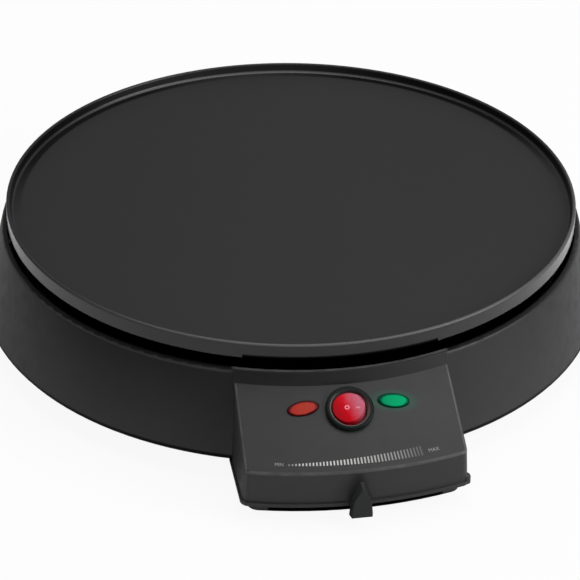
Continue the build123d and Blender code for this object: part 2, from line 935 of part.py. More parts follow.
def housing_bosses():
    """Bosses with their ribs to the skirt, and the two pillars under the control panel."""
    low, high = tray_rim_z, tray_rim_z + case_boss_height
    rib_half_length = (skirt_radius - case_screw_radius_from_axis) / 2
    rib_middle = case_screw_radius_from_axis + rib_half_length
    parts = [upright(place, case_boss_radius, low, high) for place in case_boss_places()]
    parts += [
        Rot(0, 0, bearing) * block(0, -rib_middle, case_rib_thickness / 2, rib_half_length, low, high)
        for bearing in case_screw_bearings]
    parts += [
        upright(place, case_boss_radius, tray_boss_top, panel_height(box_pillar_y))
        for place in box_pillar_places()]
    return joined(parts)


def boss_pilots():
    """Pilot holes for the tray's screws."""
    seats = [(place, tray_rim_z) for place in case_boss_places()]
    seats += [(place, tray_boss_top) for place in box_pillar_places()]
    return joined([small_pilot(place, seat, seat + case_screw_bite) for place, seat in seats])


def panel_openings():
    """Holes through the control panel for the switch and the lamps, and the lenses' shallow seats."""
    through = box_wall + 2 * overcut
    holes = [switch_place() * Pos(0, 0, -through) * extrude(Circle(switch_hole_radius), through + overcut)]
    for place in lamp_places():
        hole = Ellipse(stem_half_length + lens_hole_clearance, stem_half_width + lens_hole_clearance)
        seat = Ellipse(lens_half_length + lens_seat_clearance, lens_half_width + lens_seat_clearance)
        holes.append(place * Pos(0, 0, -through) * extrude(hole, through + overcut))
        holes.append(place * Pos(0, 0, -lens_seat_depth) * extrude(seat, lens_seat_depth + overcut))
    return joined(holes)


def base_housing():
    outside = housing_round() + control_box_solid()
    shell = outside + box_bead() + corner_lug()
    shell = shell - housing_hollow() - control_box_hollow()
    shell = shell + (housing_bosses() & outside)
    inlet_depth = skirt_wall + overcut
    inlet = Pos(0, 0, -inlet_depth) * extrude(Circle(inlet_hole_radius), inlet_depth + overcut)
    return shell - boss_pilots() - panel_openings() - inlet_place() * inlet


# ---------------------------------------------------------------- bottom tray and feet

def tray_plan(inset=0.0):
    """Plan of the tray: a round bowl with a tongue under the control box."""
    reach = tray_front_radius - inset
    strip = Pos(0, -reach / 2) * Rectangle(2 * (tray_half_width - inset), reach)
    tongue = Circle(reach) & strip
    front = [vertex for vertex in tongue.vertices() if vertex.Y < -panel_middle_radius]
    return Circle(tray_radius - inset) + fillet(front, tray_corner_radius - inset)


def tray_vents():
    """Two fans of slots in the tray's floor."""
    slot = Pos(0, -vent_ring_radius, tray_z - overcut) * extrude(
        SlotOverall(vent_length, vent_width, rotation=90), tray_floor + 2 * overcut)
    return joined([
        Rot(0, 0, side * (vent_first_bearing + step * vent_spacing)) * slot
        for side in (-1, 1) for step in range(vent_count)])


def tray_pillars():
    """Bosses that stand on the tray's floor, and the pin that the lever's hub turns on."""
    pillars = [upright(place, tray_boss_radius, tray_z, tray_boss_top) for place in post_places()]
    pillars += [upright(place, case_boss_radius, tray_z, tray_boss_top) for place in box_pillar_places()]
    pillars.append(upright(pivot_place(), spindle_radius, tray_z, pin_top))
    return joined(pillars)


def tray_holes():
    """Screw holes, counterbores and the holes that hold the feet."""
    low, high = tray_z - overcut, tray_boss_top + overcut
    holes = []
    for place in post_places():
        holes.append(upright(place, counterbore_radius, low, tray_z + counterbore_depth))
        holes.append(upright(place, post_screw_radius + screw_clearance, low, high))
    for place in box_pillar_places():
        holes.append(upright(place, small_head_radius + screw_clearance, low, pillar_screw_seat()))
        holes.append(small_way(place, tray_z, tray_boss_top))
    holes += [small_way(place, skirt_z, tray_rim_z) for place in case_boss_places()]
    holes += [upright(place, foot_stem_radius + foot_clearance, low, high) for place in foot_places()]
    return joined(holes)


def bottom_tray():
    """Bowl with a flange that the case screws pass, and the slot that the lever comes out of."""
    outer = Pos(0, 0, tray_z) * extrude(tray_plan(), tray_rim_z - tray_z)
    inner = Pos(0, 0, tray_top) * extrude(tray_plan(tray_wall), tray_rim_z - tray_top + overcut)
    flange = spun([
        (tray_radius - tray_wall, skirt_z), (flange_radius, skirt_z),
        (flange_radius, tray_rim_z), (tray_radius - tray_wall, tray_rim_z),
    ])
    slot = sector(
        tray_front_radius - slot_sill_depth, tray_front_radius + overcut,
        tray_z + slot_sill, slot_top, slot_half_bearing)
    return outer + flange - inner + tray_pillars() - slot - tray_holes() - tray_vents()


def rubber_foot(place):
    """Foot with a stem and a retaining head that snaps through the tray."""
    pad = upright(place, foot_radius, 0, tray_z)
    pad = chamfer(pad.edges().group_by(Axis.Z)[0], foot_edge_chamfer)
    stem = upright(place, foot_stem_radius, tray_z - lap, tray_top + foot_head_height)
    head = upright(place, foot_head_radius, tray_top, tray_top + foot_head_height)
    return pad + stem + chamfer(head.edges().group_by(Axis.Z)[-1], foot_head_chamfer)


def tray_screws():
    """All the screws that hold the tray to the housing."""
    case_tip, pillar_tip = tray_rim_z + case_screw_bite, tray_boss_top + case_screw_bite
    screws = [small_screw(place, skirt_z, case_tip) for place in case_boss_places()]
    screws += [small_screw(place, pillar_screw_seat(), pillar_tip) for place in box_pillar_places()]
    return joined(screws)


# ---------------------------------------------------------------- switch

def switch_body():
    """Bezel, barrel and the well that the rocker tips in."""
    body = spun(
        [
            (0, -switch_body_depth),
            (switch_body_radius, -switch_body_depth),
            (switch_body_radius, 0),
            (bezel_radius, 0),
            (bezel_radius, bezel_height),
            (funnel_radius, bezel_height),
            (well_radius, bezel_height - funnel_depth),
            (well_radius, -well_depth),
            (0, -well_depth),
        ],
        [0, 0, 0, 0, bezel_edge_radius, bezel_throat_radius, 0, 0, 0],
    )
    pin_hole = Pos(0, 0, -rocker_pivot_depth) * Rot(90, 0, 0) * Cylinder(
        rocker_pin_radius + running_clearance, 2 * (rocker_radius + rocker_pin_length + rocker_pin_end_gap))
    return switch_place() * (body - pin_hole)


def rocker_pose(angle):
    """Location that tips the rocker about its pin, right side down for a positive angle."""
    return switch_place() * Pos(0, 0, -rocker_pivot_depth) * Rot(0, angle, 0)


def rocker_profile(half, floor, rise):
    """Section across the rocker's pin: a shallow hollow above and a keel below."""
    crest = rise + half * tan(radians(rocker_half_angle))
    keel = floor + rocker_floor_slope
    top = ThreePointArc((half, crest), (0, rise), (-half, crest))
    rest = Polyline(
        (-half, crest), (-half, keel), (-half / 2, floor), (half / 2, floor), (half, keel), (half, crest))
    return make_face([top.edge(), *rest.edges()])


def switch_rocker():
    """Round rocker with a hollow across its top, held on two stub pins, off side pressed."""
    half = rocker_radius + overcut
    rise = rocker_crown + rocker_pivot_depth
    floor = rocker_pivot_depth - rocker_depth
    bar = extrude(Plane.XZ * rocker_profile(half, floor, rise), half, both=True)
    round_plan = Pos(0, 0, floor - overcut) * extrude(Circle(rocker_radius), 2 * (rise - floor))
    pins = Rot(90, 0, 0) * Cylinder(rocker_pin_radius, 2 * (rocker_radius + rocker_pin_length))
    return rocker_pose(-rocker_half_angle) * ((bar & round_plan) + pins)


def switch_tabs():
    """Three blades out of the bottom of the switch."""
    low = -switch_body_depth - tab_length
    return switch_place() * joined([
        block(x, 0, tab_thickness / 2, tab_width / 2, low, -switch_body_depth)
        for x in (-tab_spacing, 0, tab_spacing)])


# ---------------------------------------------------------------- lamps

def lamp_lens(place):
    """Low oval lens sunk in its seat, with a stem through the panel."""
    dome = Pos(0, 0, -lens_seat_depth) * extrude(
        Ellipse(lens_half_length, lens_half_width), lens_seat_depth + lens_height)
    dome = fillet(dome.edges().group_by(Axis.Z)[-1], lens_edge_radius)
    stem = Pos(0, 0, -lens_stem_depth) * extrude(
        Ellipse(stem_half_length, stem_half_width), lens_stem_depth)
    return place * (dome + stem)


def lamp_holder(place):
    """Sleeve under the panel that grips the lens's stem and holds the neon lamp."""
    inner_x = stem_half_length + running_clearance
    inner_y = stem_half_width + running_clearance
    top = -box_wall - holder_panel_gap
    sleeve = Pos(0, 0, -holder_depth) * extrude(
        Ellipse(inner_x + holder_wall, inner_y + holder_wall), top + holder_depth)
    cavity = Pos(0, 0, -holder_depth + holder_wall) * extrude(Ellipse(inner_x, inner_y), holder_depth)
    return place * (sleeve - cavity)


def neon_lamp(place):
    """Small glass lamp lying in the bottom of its holder."""
    centre_z = -holder_depth + holder_wall + neon_radius
    return place * Pos(0, 0, centre_z) * Rot(0, 90, 0) * Cylinder(neon_radius, neon_length)


# ---------------------------------------------------------------- small inner pieces

def thermal_fuse():
    return Pos(fuse_x, fuse_y, plate_z - fuse_radius) * Rot(90, 0, 0) * Cylinder(fuse_radius, fuse_length)


def fuse_clip():
    """Strap under the fuse with one ear screwed to the plate."""
    inner = fuse_radius + running_clearance
    outer = inner + fuse_clip_thickness
    ring = Circle(outer) - Circle(inner) - Pos(0, outer) * Rectangle(4 * outer, 2 * outer)
    wall = Rectangle(fuse_clip_thickness, fuse_radius)
    walls = [Pos(side * (inner + fuse_clip_thickness / 2), fuse_radius / 2) * wall for side in (-1, 1)]
    ear = Pos(outer + fuse_ear_length / 2 - fuse_ear_lap, fuse_radius - fuse_clip_thickness / 2) * Rectangle(
        fuse_ear_length + 2 * fuse_ear_lap, fuse_clip_thickness)
    profile = ring + walls[0] + walls[1] + ear
    strap = Pos(fuse_x, fuse_y, plate_z - fuse_radius) * extrude(
        Plane.XZ * profile, fuse_clip_width / 2, both=True)
    return strap - small_way(fuse_ear_place(), plate_z - fuse_clip_thickness, plate_z)


def fuse_screw():
    return small_screw(fuse_ear_place(), plate_z - fuse_clip_thickness, plate_z + fuse_screw_bite)


def block_way_x():
    """Middle of each way of the connection block, from left to right."""
    pitch = block_length / block_ways
    first = block_x - block_length / 2 + pitch / 2
    return [first + step * pitch for step in range(block_ways)]


def terminal_block():
    """Connection block on the tray, with a screw well and a wire way for each pole."""
    top = tray_top + block_height
    well_radius_each = small_head_radius + block_well_clearance
    body = block(block_x, block_y, block_length / 2, block_width / 2, tray_top, top, block_corner_radius)
    for x in block_way_x():
        well = upright(Vector(x, block_y), well_radius_each, top - block_well_depth, top + overcut)
        wire_way = Pos(x, block_y, tray_top + block_wire_height) * Rot(90, 0, 0) * Cylinder(
            block_wire_radius, block_width + 2 * overcut)
        body = body - well - wire_way
    for left, right in zip(block_way_x(), block_way_x()[1:]):
        body = body - block(
            (left + right) / 2, block_y, block_slit_width / 2, block_width / 2 + overcut,
            top - block_slit_depth, top + overcut)
    return body


def terminal_screws():
    low = tray_top + block_height - block_well_depth
    return joined([
        upright(Vector(x, block_y), small_head_radius, low, low + block_screw_length) for x in block_way_x()])


def earth_tag():
    """Ring tag with a blade, under the earth boss."""
    low = earth_z - tab_thickness
    blade_start = earth_ring_radius - overcut
    blade_half = (earth_blade_reach - blade_start) / 2
    ring = upright(earth_place(), earth_ring_radius, low, earth_z)
    blade = block(earth_x, earth_y + blade_start + blade_half, blade_width / 2, blade_half, low, earth_z)
    return ring + blade - small_way(earth_place(), low, earth_z)


def earth_screw():
    return small_screw(earth_place(), earth_z - tab_thickness, earth_z + earth_screw_bite)


def inlet_bush():
    """Flanged bush in the rear of the skirt that the supply cord would pass."""
    neck = inlet_hole_radius - inlet_clearance
    barb_top = -skirt_wall - inlet_clearance - inlet_barb_gap
    barb_end = barb_top - inlet_barb_length
    bush = spun(
        [
            (inlet_bore_radius, barb_end),
            (neck + inlet_barb, barb_end),
            (neck + inlet_barb, barb_top),
            (neck, barb_top),
            (neck, 0),
            (inlet_flange_radius, 0),
            (inlet_flange_radius, inlet_flange),
            (inlet_bore_radius, inlet_flange),
        ],
        [0, 0, 0, 0, 0, 0, inlet_edge_radius, 0],
    )
    return inlet_place() * bush


# ---------------------------------------------------------------- assembly

def all_nodes():
    red, green = lamp_places()
    foot_names = ["foot_rear_left", "foot_rear_right", "foot_front_left", "foot_front_right"]
    post_names = ["plate_post_right", "plate_post_rear", "plate_post_left"]
    nodes = {
        "baking_plate": baking_plate(),
        "heating_element": element_tube(),
        "element_insulators": element_insulators(),
        "element_tabs": element_tabs(),
        "element_clips": element_clips(),
        "clip_screws": clip_screws(),
        "heat_shield": heat_shield(),
        "plate_screws": plate_screws(),
        "thermostat_bracket": thermostat_bracket(),
        "bracket_screws": bracket_screws(),
        "thermostat_body": thermostat_body(),
        "thermostat_tabs": thermostat_tabs(),
        "thermostat_spindle": thermostat_spindle(),
        "lever_arm": lever_arm(),
        "pointer_knob": pointer_knob(),
        "base_housing": base_housing(),
        "bottom_tray": bottom_tray(),
        "tray_screws": tray_screws(),
        "switch_body": switch_body(),
        "switch_rocker": switch_rocker(),
        "switch_tabs": switch_tabs(),
        "red_lens": lamp_lens(red),
        "green_lens": lamp_lens(green),
        "red_lamp_holder": lamp_holder(red),
        "green_lamp_holder": lamp_holder(green),
        "red_neon": neon_lamp(red),
        "green_neon": neon_lamp(green),
        "thermal_fuse": thermal_fuse(),
        "fuse_clip": fuse_clip(),
        "fuse_screw": fuse_screw(),
        "terminal_block": terminal_block(),
        "terminal_screws": terminal_screws(),
        "earth_tag": earth_tag(),
        "earth_screw": earth_screw(),
        "inlet_bush": inlet_bush(),
    }
    for name, place in zip(post_names, post_places()):
        nodes[name] = plate_post(place)
    for name, place in zip(foot_names, foot_places()):
        nodes[name] = rubber_foot(place)
    return nodes


def main():
    os.makedirs("parts", exist_ok=True)
    for name, shape in all_nodes().items():
        export_step(Pos(0, axis_y, 0) * shape, f"parts/{name}.step")


main()
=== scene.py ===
import json
from functools import cached_property
from math import atan2, cos, pi, radians, sin, sqrt, tan

import bmesh
import bpy
from mathutils import Matrix, Vector


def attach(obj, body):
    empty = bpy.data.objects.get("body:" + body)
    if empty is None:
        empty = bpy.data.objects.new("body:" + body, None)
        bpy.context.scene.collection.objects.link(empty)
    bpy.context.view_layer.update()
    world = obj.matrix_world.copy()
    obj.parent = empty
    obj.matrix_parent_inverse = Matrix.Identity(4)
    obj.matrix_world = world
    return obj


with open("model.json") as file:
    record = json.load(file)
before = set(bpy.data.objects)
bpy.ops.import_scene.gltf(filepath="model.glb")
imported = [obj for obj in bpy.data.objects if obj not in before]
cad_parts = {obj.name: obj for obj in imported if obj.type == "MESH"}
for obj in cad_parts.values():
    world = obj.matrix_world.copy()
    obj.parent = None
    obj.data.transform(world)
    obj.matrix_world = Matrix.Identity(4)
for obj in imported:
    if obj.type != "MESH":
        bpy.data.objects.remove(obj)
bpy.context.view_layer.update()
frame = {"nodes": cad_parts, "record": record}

# ------------------------------------------------------------------ sizes and places, in metres

MOUNTS = {mount["name"]: mount for mount in frame["record"]["mounts"]}
JOINTS = {joint["name"]: joint for joint in frame["record"]["behaviour"]["joints"]}
AXIS = Vector(MOUNTS["baking_surface"]["pos_m"][:2] + [0.0])

# Control panel: part of a cone about the plate's upright axis. Every radius here is from that axis
# and every height from the table.
PANEL_FOOT_R = 0.1549
PANEL_FRONT_R = 0.1955
PANEL_FRONT_Z = 0.0274
PANEL_DROP = 0.0227
PANEL_SLOPE = PANEL_DROP / (PANEL_FRONT_R - PANEL_FOOT_R)
PANEL_ANGLE = atan2(PANEL_DROP, PANEL_FRONT_R - PANEL_FOOT_R)

# Rocker: its top is a shallow hollow, bent about a line along the pin.
ROCKER_PIVOT = Vector(JOINTS["power_rocker"]["pos_m"])
ROCKER_AXIS = Vector(JOINTS["power_rocker"]["axis"])
ROCKER_RISE = 0.0035
ROCKER_HALF = 0.0088
ROCKER_TILT = radians(8.0)
ROCKER_HOLLOW = ROCKER_HALF * tan(ROCKER_TILT)
ROCKER_ROUND = (ROCKER_HALF ** 2 + ROCKER_HOLLOW ** 2) / (2 * ROCKER_HOLLOW)

# Switch and lamps
SWITCH_R = 0.1670
SWITCH_TURN = radians(-11.0)
LAMP_R = 0.1654
LAMP_BEARING = radians(7.665)
LAMP_SPLAY = radians(12.1)
LENS_HALF = (0.0076, 0.0037, 0.004)
LENS_TINT_SHIFT = 0.0003
ROCKER_TINT_SIZE = (0.0084, 0.0084, 0.006)

# Control box: its sides lean inwards going up, and meet the lip at the box's edge.
LIP_Z = 0.0563
BOX_HALF_WIDTH = 0.0526
BOX_SIDE_LEAN = 0.0025
BOX_SIDE_HEIGHT = 0.0476
SIDE_SLOPE = BOX_SIDE_LEAN / BOX_SIDE_HEIGHT
SIDE_REACH = BOX_HALF_WIDTH + LIP_Z * SIDE_SLOPE
BOX_EDGE_X = (0.0520, 0.0535)
# Only what lies before this is the control box's end of the part.
FRONT_Y = -0.1

# Lip, skirt and lower edge of the housing
OPENING_R = 0.1501
LIP_LINE_R = (0.1502, 0.1518)
LIP_LINE_Z = 0.0540
LIP_ROLL_R = (0.1501, 0.1523)
LIP_ROLL_END_R = (0.1524, 0.1531)
SKIRT_TOP_R = 0.1512
SKIRT_FOOT_R = 0.1636
HEM_R = (0.15, 0.1645)
HEM_TOP_Z = 0.0131

# Slot of the lever, in the tray's wall
SLOT_R = (0.166, 0.19235)
SLOT_EDGE_R = (0.1920, 0.1935)
SLOT_EDGE_Z = (0.0040, 0.0090)
SLOT_REACH = 0.0426

# Switch's bezel, from the switch's own middle
FUNNEL_R = (0.0084, 0.0096)
BEZEL_RING_R = 0.0099

# Baking plate: flat, rim and side
FLAT_EDGE_R = 0.1470
RIM_SHADOW_R = (0.1432, 0.1462)
RIM_WALL_R = (0.146, 0.1486)
RIM_FOOT_R = (0.1464, 0.1482)
RIM_FOOT_Z = (0.0650, 0.0659)
CREST_R = (0.1486, 0.1503)
CREST_Z = 0.0694
SIDE_R = 0.14985
SIDE_TOP_Z = 0.0690
NOTCH_REACH = 0.0480
NOTCH_INNER_R = 0.145
NOTCH_TOP_Z = 0.0636

# Heat shield
SHIELD_RIM_R = 0.136


def outward(bearing):
    """Level direction from the plate's axis, at a bearing to the right of straight ahead."""
    return Vector((sin(bearing), -cos(bearing), 0.0))


def panel_normal(bearing):
    """Normal of the conical control panel at a bearing."""
    return outward(bearing) * sin(PANEL_ANGLE) + Vector((0, 0, cos(PANEL_ANGLE)))


def on_panel(bearing, radius, lift=0.0):
    """Point on the conical control panel, raised along its normal."""
    height = PANEL_FRONT_Z + (PANEL_FRONT_R - radius) * PANEL_SLOPE
    return AXIS + outward(bearing) * radius + Vector((0, 0, height)) + panel_normal(bearing) * lift


def panel_frame(radius, bearing, turn=0.0):
    """Matrix of a place on the control panel: x along the arc, y up the slope, z outwards."""
    normal = panel_normal(bearing)
    across = Vector((cos(bearing), sin(bearing), 0.0))
    up = normal.cross(across)
    basis = Matrix((across, up, normal)).transposed().to_4x4()
    return Matrix.Translation(on_panel(bearing, radius)) @ basis @ Matrix.Rotation(turn, 4, "Z")


def switch_frame():
    """Matrix of the switch, which is turned a little in its hole."""
    return panel_frame(SWITCH_R, 0.0, SWITCH_TURN)


def lamp_frame(side, shift=0.0):
    """Matrix of a lamp's lens: side is -1 for the red one at the left and 1 for the green one."""
    return panel_frame(LAMP_R + shift, side * LAMP_BEARING, -side * LAMP_SPLAY)


def rocker_frame():
    """Matrix of the tipped rocker at rest: origin on its pin, y along the pin, z out of its top."""
    normal = panel_normal(0.0)
    basis = Matrix((ROCKER_AXIS.cross(normal), ROCKER_AXIS, normal)).transposed().to_4x4()
    return Matrix.Translation(ROCKER_PIVOT) @ basis @ Matrix.Rotation(-ROCKER_TILT, 4, "Y")


# ------------------------------------------------------------------ mesh helpers

def piece(name, mesh, material, body):
    """An object made from a bmesh, flat shaded, with its material, riding on a body."""
    data = bpy.data.meshes.new(name)
    bmesh.ops.recalc_face_normals(mesh, faces=mesh.faces)
    mesh.to_mesh(data)
    mesh.free()
    for face in data.polygons:
        face.use_smooth = False
    thing = bpy.data.objects.new(name, data)
    bpy.context.scene.collection.objects.link(thing)
    data.materials.append(material)
    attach(thing, body)


def slab(mesh, low_ring, high_ring):
    """Closes two rings of points with a floor, a top and walls."""
    low = [mesh.verts.new(point) for point in low_ring]
    high = [mesh.verts.new(point) for point in high_ring]
    count = len(low)
    mesh.faces.new(low[::-1])
    mesh.faces.new(high)
    for i in range(count):
        j = (i + 1) % count
        mesh.faces.new((low[i], low[j], high[j], high[i]))


# ------------------------------------------------------------------ shader helpers

class Shader:
    """A node tree with a Principled shader and short ways to add to it."""

    FLAT_DOT = 0.995
    SHARP_DOT = 0.80

    def __init__(self, name, colour, rough, **constants):
        self.material = bpy.data.materials.new(name)
        self.material.use_nodes = True
        self.tree = self.material.node_tree
        self.bsdf = self.tree.nodes["Principled BSDF"]
        self.bsdf.inputs["Base Color"].default_value = (*colour, 1.0)
        self.bsdf.inputs["Roughness"].default_value = rough
        for key, value in constants.items():
            self.bsdf.inputs[key.replace("_", " ")].default_value = value
        self.place = self.add("ShaderNodeTexCoord").outputs["Object"]

    def add(self, kind, **settings):
        """A new node with its settings."""
        node = self.tree.nodes.new(kind)
        for key, value in settings.items():
            setattr(node, key, value)
        return node

    def link(self, output, target):
        """A link from an output to an input."""
        self.tree.links.new(output, target)

    def to(self, output, name):
        """A link from an output to the shader's own input of a name."""
        self.link(output, self.bsdf.inputs[name])

    # Numbers and masks

    def maths(self, operation, a, b=None, clamp=False):
        """Result of a maths node; each operand is a number or an output."""
        node = self.add("ShaderNodeMath", operation=operation, use_clamp=clamp)
        for slot, value in enumerate((a, b)):
            if value is None:
                continue
            if isinstance(value, (int, float)):
                node.inputs[slot].default_value = value
            else:
                self.link(value, node.inputs[slot])
        return node.outputs["Value"]

    def rise(self, value, start, end, bottom=0.0, top=1.0, kind="LINEAR"):
        """Number that goes from bottom to top while a value goes from start to end."""
        node = self.add("ShaderNodeMapRange", interpolation_type=kind)
        self.link(value, node.inputs["Value"])
        limits = {"From Min": start, "From Max": end, "To Min": bottom, "To Max": top}
        for key, number in limits.items():
            node.inputs[key].default_value = number
        return node.outputs["Result"]

    def fall(self, value, start, end, top=1.0, bottom=0.0, kind="LINEAR"):
        """Number that goes from top to bottom while a value goes from start to end."""
        return self.rise(value, start, end, top, bottom, kind)

    def over(self, value, limit, soft):
        """1 where a value is over a limit, fading to 0 over a soft edge below it."""
        return self.rise(value, limit - soft, limit)

    def under(self, value, limit, soft):
        """1 where a value is under a limit, fading to 0 over a soft edge above it."""
        return self.fall(value, limit, limit + soft)

    def band(self, value, limits, soft):
        """1 where a value lies between two limits, fading to 0 over a soft edge outside them."""
        return self.product(self.over(value, limits[0], soft), self.under(value, limits[1], soft))

    def product(self, first, *others):
        """Product of a mask with other masks or numbers."""
        total = first
        for other in others:
            total = self.maths("MULTIPLY", total, other)
        return total

    def either(self, first, *others):
        """Greatest of several masks."""
        total = first
        for other in others:
            total = self.maths("MAXIMUM", total, other)
        return total

    def inverse(self, mask):
        """1 where a mask is 0, and 0 where it is 1."""
        return self.maths("SUBTRACT", 1.0, mask)

    # Where a point of the surface is and which way it faces

    def split(self, vector):
        """X, Y and Z of a vector."""
        node = self.add("ShaderNodeSeparateXYZ")
        self.link(vector, node.inputs["Vector"])
        return [node.outputs[axis] for axis in "XYZ"]

    def flat_length(self, vector):
        """Length of a vector's x and y."""
        flat = self.add("ShaderNodeVectorMath", operation="MULTIPLY")
        flat.inputs[1].default_value = (1.0, 1.0, 0.0)
        length = self.add("ShaderNodeVectorMath", operation="LENGTH")
        self.link(vector, flat.inputs[0])
        self.link(flat.outputs["Vector"], length.inputs[0])
        return length.outputs["Value"]

    def local(self, place, size):
        """Coordinates in a place's own frame, in units of a size along each of its axes."""
        mapping = self.add("ShaderNodeMapping", vector_type="TEXTURE")
        mapping.inputs["Location"].default_value = place.to_translation()
        mapping.inputs["Rotation"].default_value = place.to_euler()
        mapping.inputs["Scale"].default_value = size
        self.link(self.place, mapping.inputs["Vector"])
        return mapping.outputs["Vector"]

    @cached_property
    def x(self):
        """Place to the right of the middle."""
        return self.split(self.place)[0]

    @cached_property
    def y(self):
        """Place to the rear of the middle."""
        return self.split(self.place)[1]

    @cached_property
    def z(self):
        """Height over the table."""
        return self.split(self.place)[2]

    @cached_property
    def aside(self):
        """Distance to either side of the middle."""
        return self.maths("ABSOLUTE", self.x)

    @cached_property
    def radius(self):
        """Distance from the plate's upright axis."""
        moved = self.add("ShaderNodeVectorMath", operation="SUBTRACT")
        moved.inputs[1].default_value = AXIS
        self.link(self.place, moved.inputs[0])
        return self.flat_length(moved.outputs["Vector"])

    @cached_property
    def up(self):
        """Upward part of the surface's normal."""
        return self.split(self.add("ShaderNodeNewGeometry").outputs["Normal"])[2]

    # Colour and relief

    def noise(self, scale, detail, roughness, stretch=None):
        """Noise value over the object, with features about 1/scale metres across."""
        node = self.add("ShaderNodeTexNoise")
        node.inputs["Scale"].default_value = scale
        node.inputs["Detail"].default_value = detail
        node.inputs["Roughness"].default_value = roughness
        source = self.place
        if stretch:
            mapping = self.add("ShaderNodeMapping")
            mapping.inputs["Scale"].default_value = stretch
            self.link(source, mapping.inputs["Vector"])
            source = mapping.outputs["Vector"]
        self.link(source, node.inputs["Vector"])
        return node.outputs["Fac"]

    def blend(self, factor, a, b):
        """Mix of two colours by a factor; each colour is a tuple or an output."""
        node = self.add("ShaderNodeMix", data_type="RGBA")
        self.link(factor, node.inputs[0])
        for slot, value in ((6, a), (7, b)):
            if isinstance(value, tuple):
                node.inputs[slot].default_value = (*value, 1.0)
            else:
                self.link(value, node.inputs[slot])
        return node.outputs[2]

    def dull(self, mask):
        """Takes the reflection off where a mask is 1, for painted shade."""
        self.to(self.blend(mask, grey(1.0), grey(0.0)), "Specular Tint")

    def rounded(self, radius):
        """Normal of the surface with its edges rounded."""
        bevel = self.add("ShaderNodeBevel", samples=6)
        bevel.inputs["Radius"].default_value = radius
        return bevel.outputs["Normal"]

    def edges(self, rounded):
        """1 on sharp edges and 0 on flat faces, from the rounded normal."""
        dot = self.add("ShaderNodeVectorMath", operation="DOT_PRODUCT")
        self.link(rounded, dot.inputs[0])
        self.link(self.add("ShaderNodeNewGeometry").outputs["Normal"], dot.inputs[1])
        return self.rise(dot.outputs["Value"], self.FLAT_DOT, self.SHARP_DOT)

    def bump(self, height, strength, distance, normal=None):
        """Relief from a height, on the rounded normal where there is one."""
        node = self.add("ShaderNodeBump")
        node.inputs["Strength"].default_value = strength
        node.inputs["Distance"].default_value = distance
        self.link(height, node.inputs["Height"])
        if normal is not None:
            self.link(normal, node.inputs["Normal"])
        self.to(node.outputs["Normal"], "Normal")


def grey(value):
    """Colour with the same red, green and blue."""
    return (value, value, value)


def tint(colour, factor):
    """Colour made lighter or darker by a factor."""
    return tuple(min(1.0, channel * factor) for channel in colour)


# ------------------------------------------------------------------ plastics

def moulded_plastic(
        name, colour, rough, grain=2600.0, depth=0.00006, edge=0.0005, wear=1.8, zones=None,
        **constants):
    """Moulded plastic: spark-eroded grain, faint flow marks, dust in the grain, rubbed edges."""
    shader = Shader(name, colour, rough, **constants)
    fine = shader.noise(grain, detail=3.0, roughness=0.6)
    flow = shader.noise(38.0, detail=3.0, roughness=0.55, stretch=(1.0, 1.0, 0.45))
    smudge = shader.noise(140.0, detail=5.0, roughness=0.6)
    rounded = shader.rounded(edge)
    base = shader.blend(flow, tint(colour, 0.86), tint(colour, 1.14))
    dusty = shader.blend(shader.rise(fine, 0.48, 0.72, top=0.35), base, tint(colour, 1.7))
    rub = shader.product(shader.edges(rounded), shader.rise(smudge, 0.35, 0.65, 0.25, 0.9))
    worn = shader.blend(rub, dusty, tint(colour, wear))
    shader.to(zones(shader, worn) if zones else worn, "Base Color")
    shader.to(shader.rise(smudge, 0.3, 0.7, rough - 0.05, rough + 0.06), "Roughness")
    shader.bump(fine, strength=0.55, distance=depth, normal=rounded)
    return shader.material


def beyond_box(shader):
    """Mask of all that lies to the side of the control box."""
    return shader.rise(shader.aside, *BOX_EDGE_X)


def skirt_painted_shade(shader, colour):
    """Painted shade on the skirt, its lower edge, the opening and the lip's roll, and a painted highlight.
    """
    # Painted shade: the lower edge and the inside of the opening dark, the skirt darker under the lip, most
    # at the left.
    hem = shader.product(
        shader.under(shader.z, HEM_TOP_Z, soft=0.0005), shader.band(shader.radius, HEM_R, soft=0.0004))
    inside = shader.under(shader.radius, OPENING_R, soft=0.0002)
    deeper_left = shader.fall(shader.x, -0.06, 0.03, bottom=0.4)
    deeper_aside = shader.maths(
        "ADD", shader.rise(shader.aside, 0.09, 0.14, top=0.4), shader.rise(shader.x, 0.07, 0.12, top=0.3))
    shade = shader.product(
        shader.fall(shader.radius, SKIRT_TOP_R, SKIRT_FOOT_R, top=0.72),
        shader.under(shader.up, 0.4, soft=0.2), shader.maths("ADD", deeper_left, deeper_aside))
    beside = beyond_box(shader)
    # Painted shade on the lip's roll beside the box, and a painted highlight at the roll's end.
    roll = shader.product(
        shader.band(shader.radius, LIP_ROLL_R, soft=0.0003), shader.over(shader.up, 0.4, soft=0.2), beside)
    roll_fade = shader.fall(shader.x, 0.09, 0.14, top=0.85, bottom=0.45)
    lip_highlight = shader.product(
        shader.band(shader.radius, LIP_ROLL_END_R, soft=0.0003), beside,
        shader.fall(shader.aside, 0.06, 0.12, top=0.28), shader.fall(shader.x, 0.0, 0.01, bottom=0.25))
    shader.dull(shader.either(
        shader.product(shader.either(hem, inside, roll), 0.75), shader.product(shade, 0.9)))
    colour = shader.blend(hem, colour, grey(0.002))
    colour = shader.blend(inside, colour, (0.009, 0.009, 0.008))
    colour = shader.blend(shade, colour, grey(0.004))
    colour = shader.blend(shader.product(roll, roll_fade), colour, grey(0.004))
    return shader.blend(lip_highlight, colour, grey(0.06))


def lamp_spill(shader, colour):
    """Green light spilt on the panel round the lit lamp."""
    reach = shader.flat_length(shader.local(lamp_frame(1), LENS_HALF))
    spill = shader.product(
        shader.fall(reach, 1.0, 1.9, top=0.75, kind="SMOOTHSTEP"), shader.over(shader.up, 0.75, soft=0.1))
    return shader.blend(spill, colour, (0.006, 0.070, 0.042))


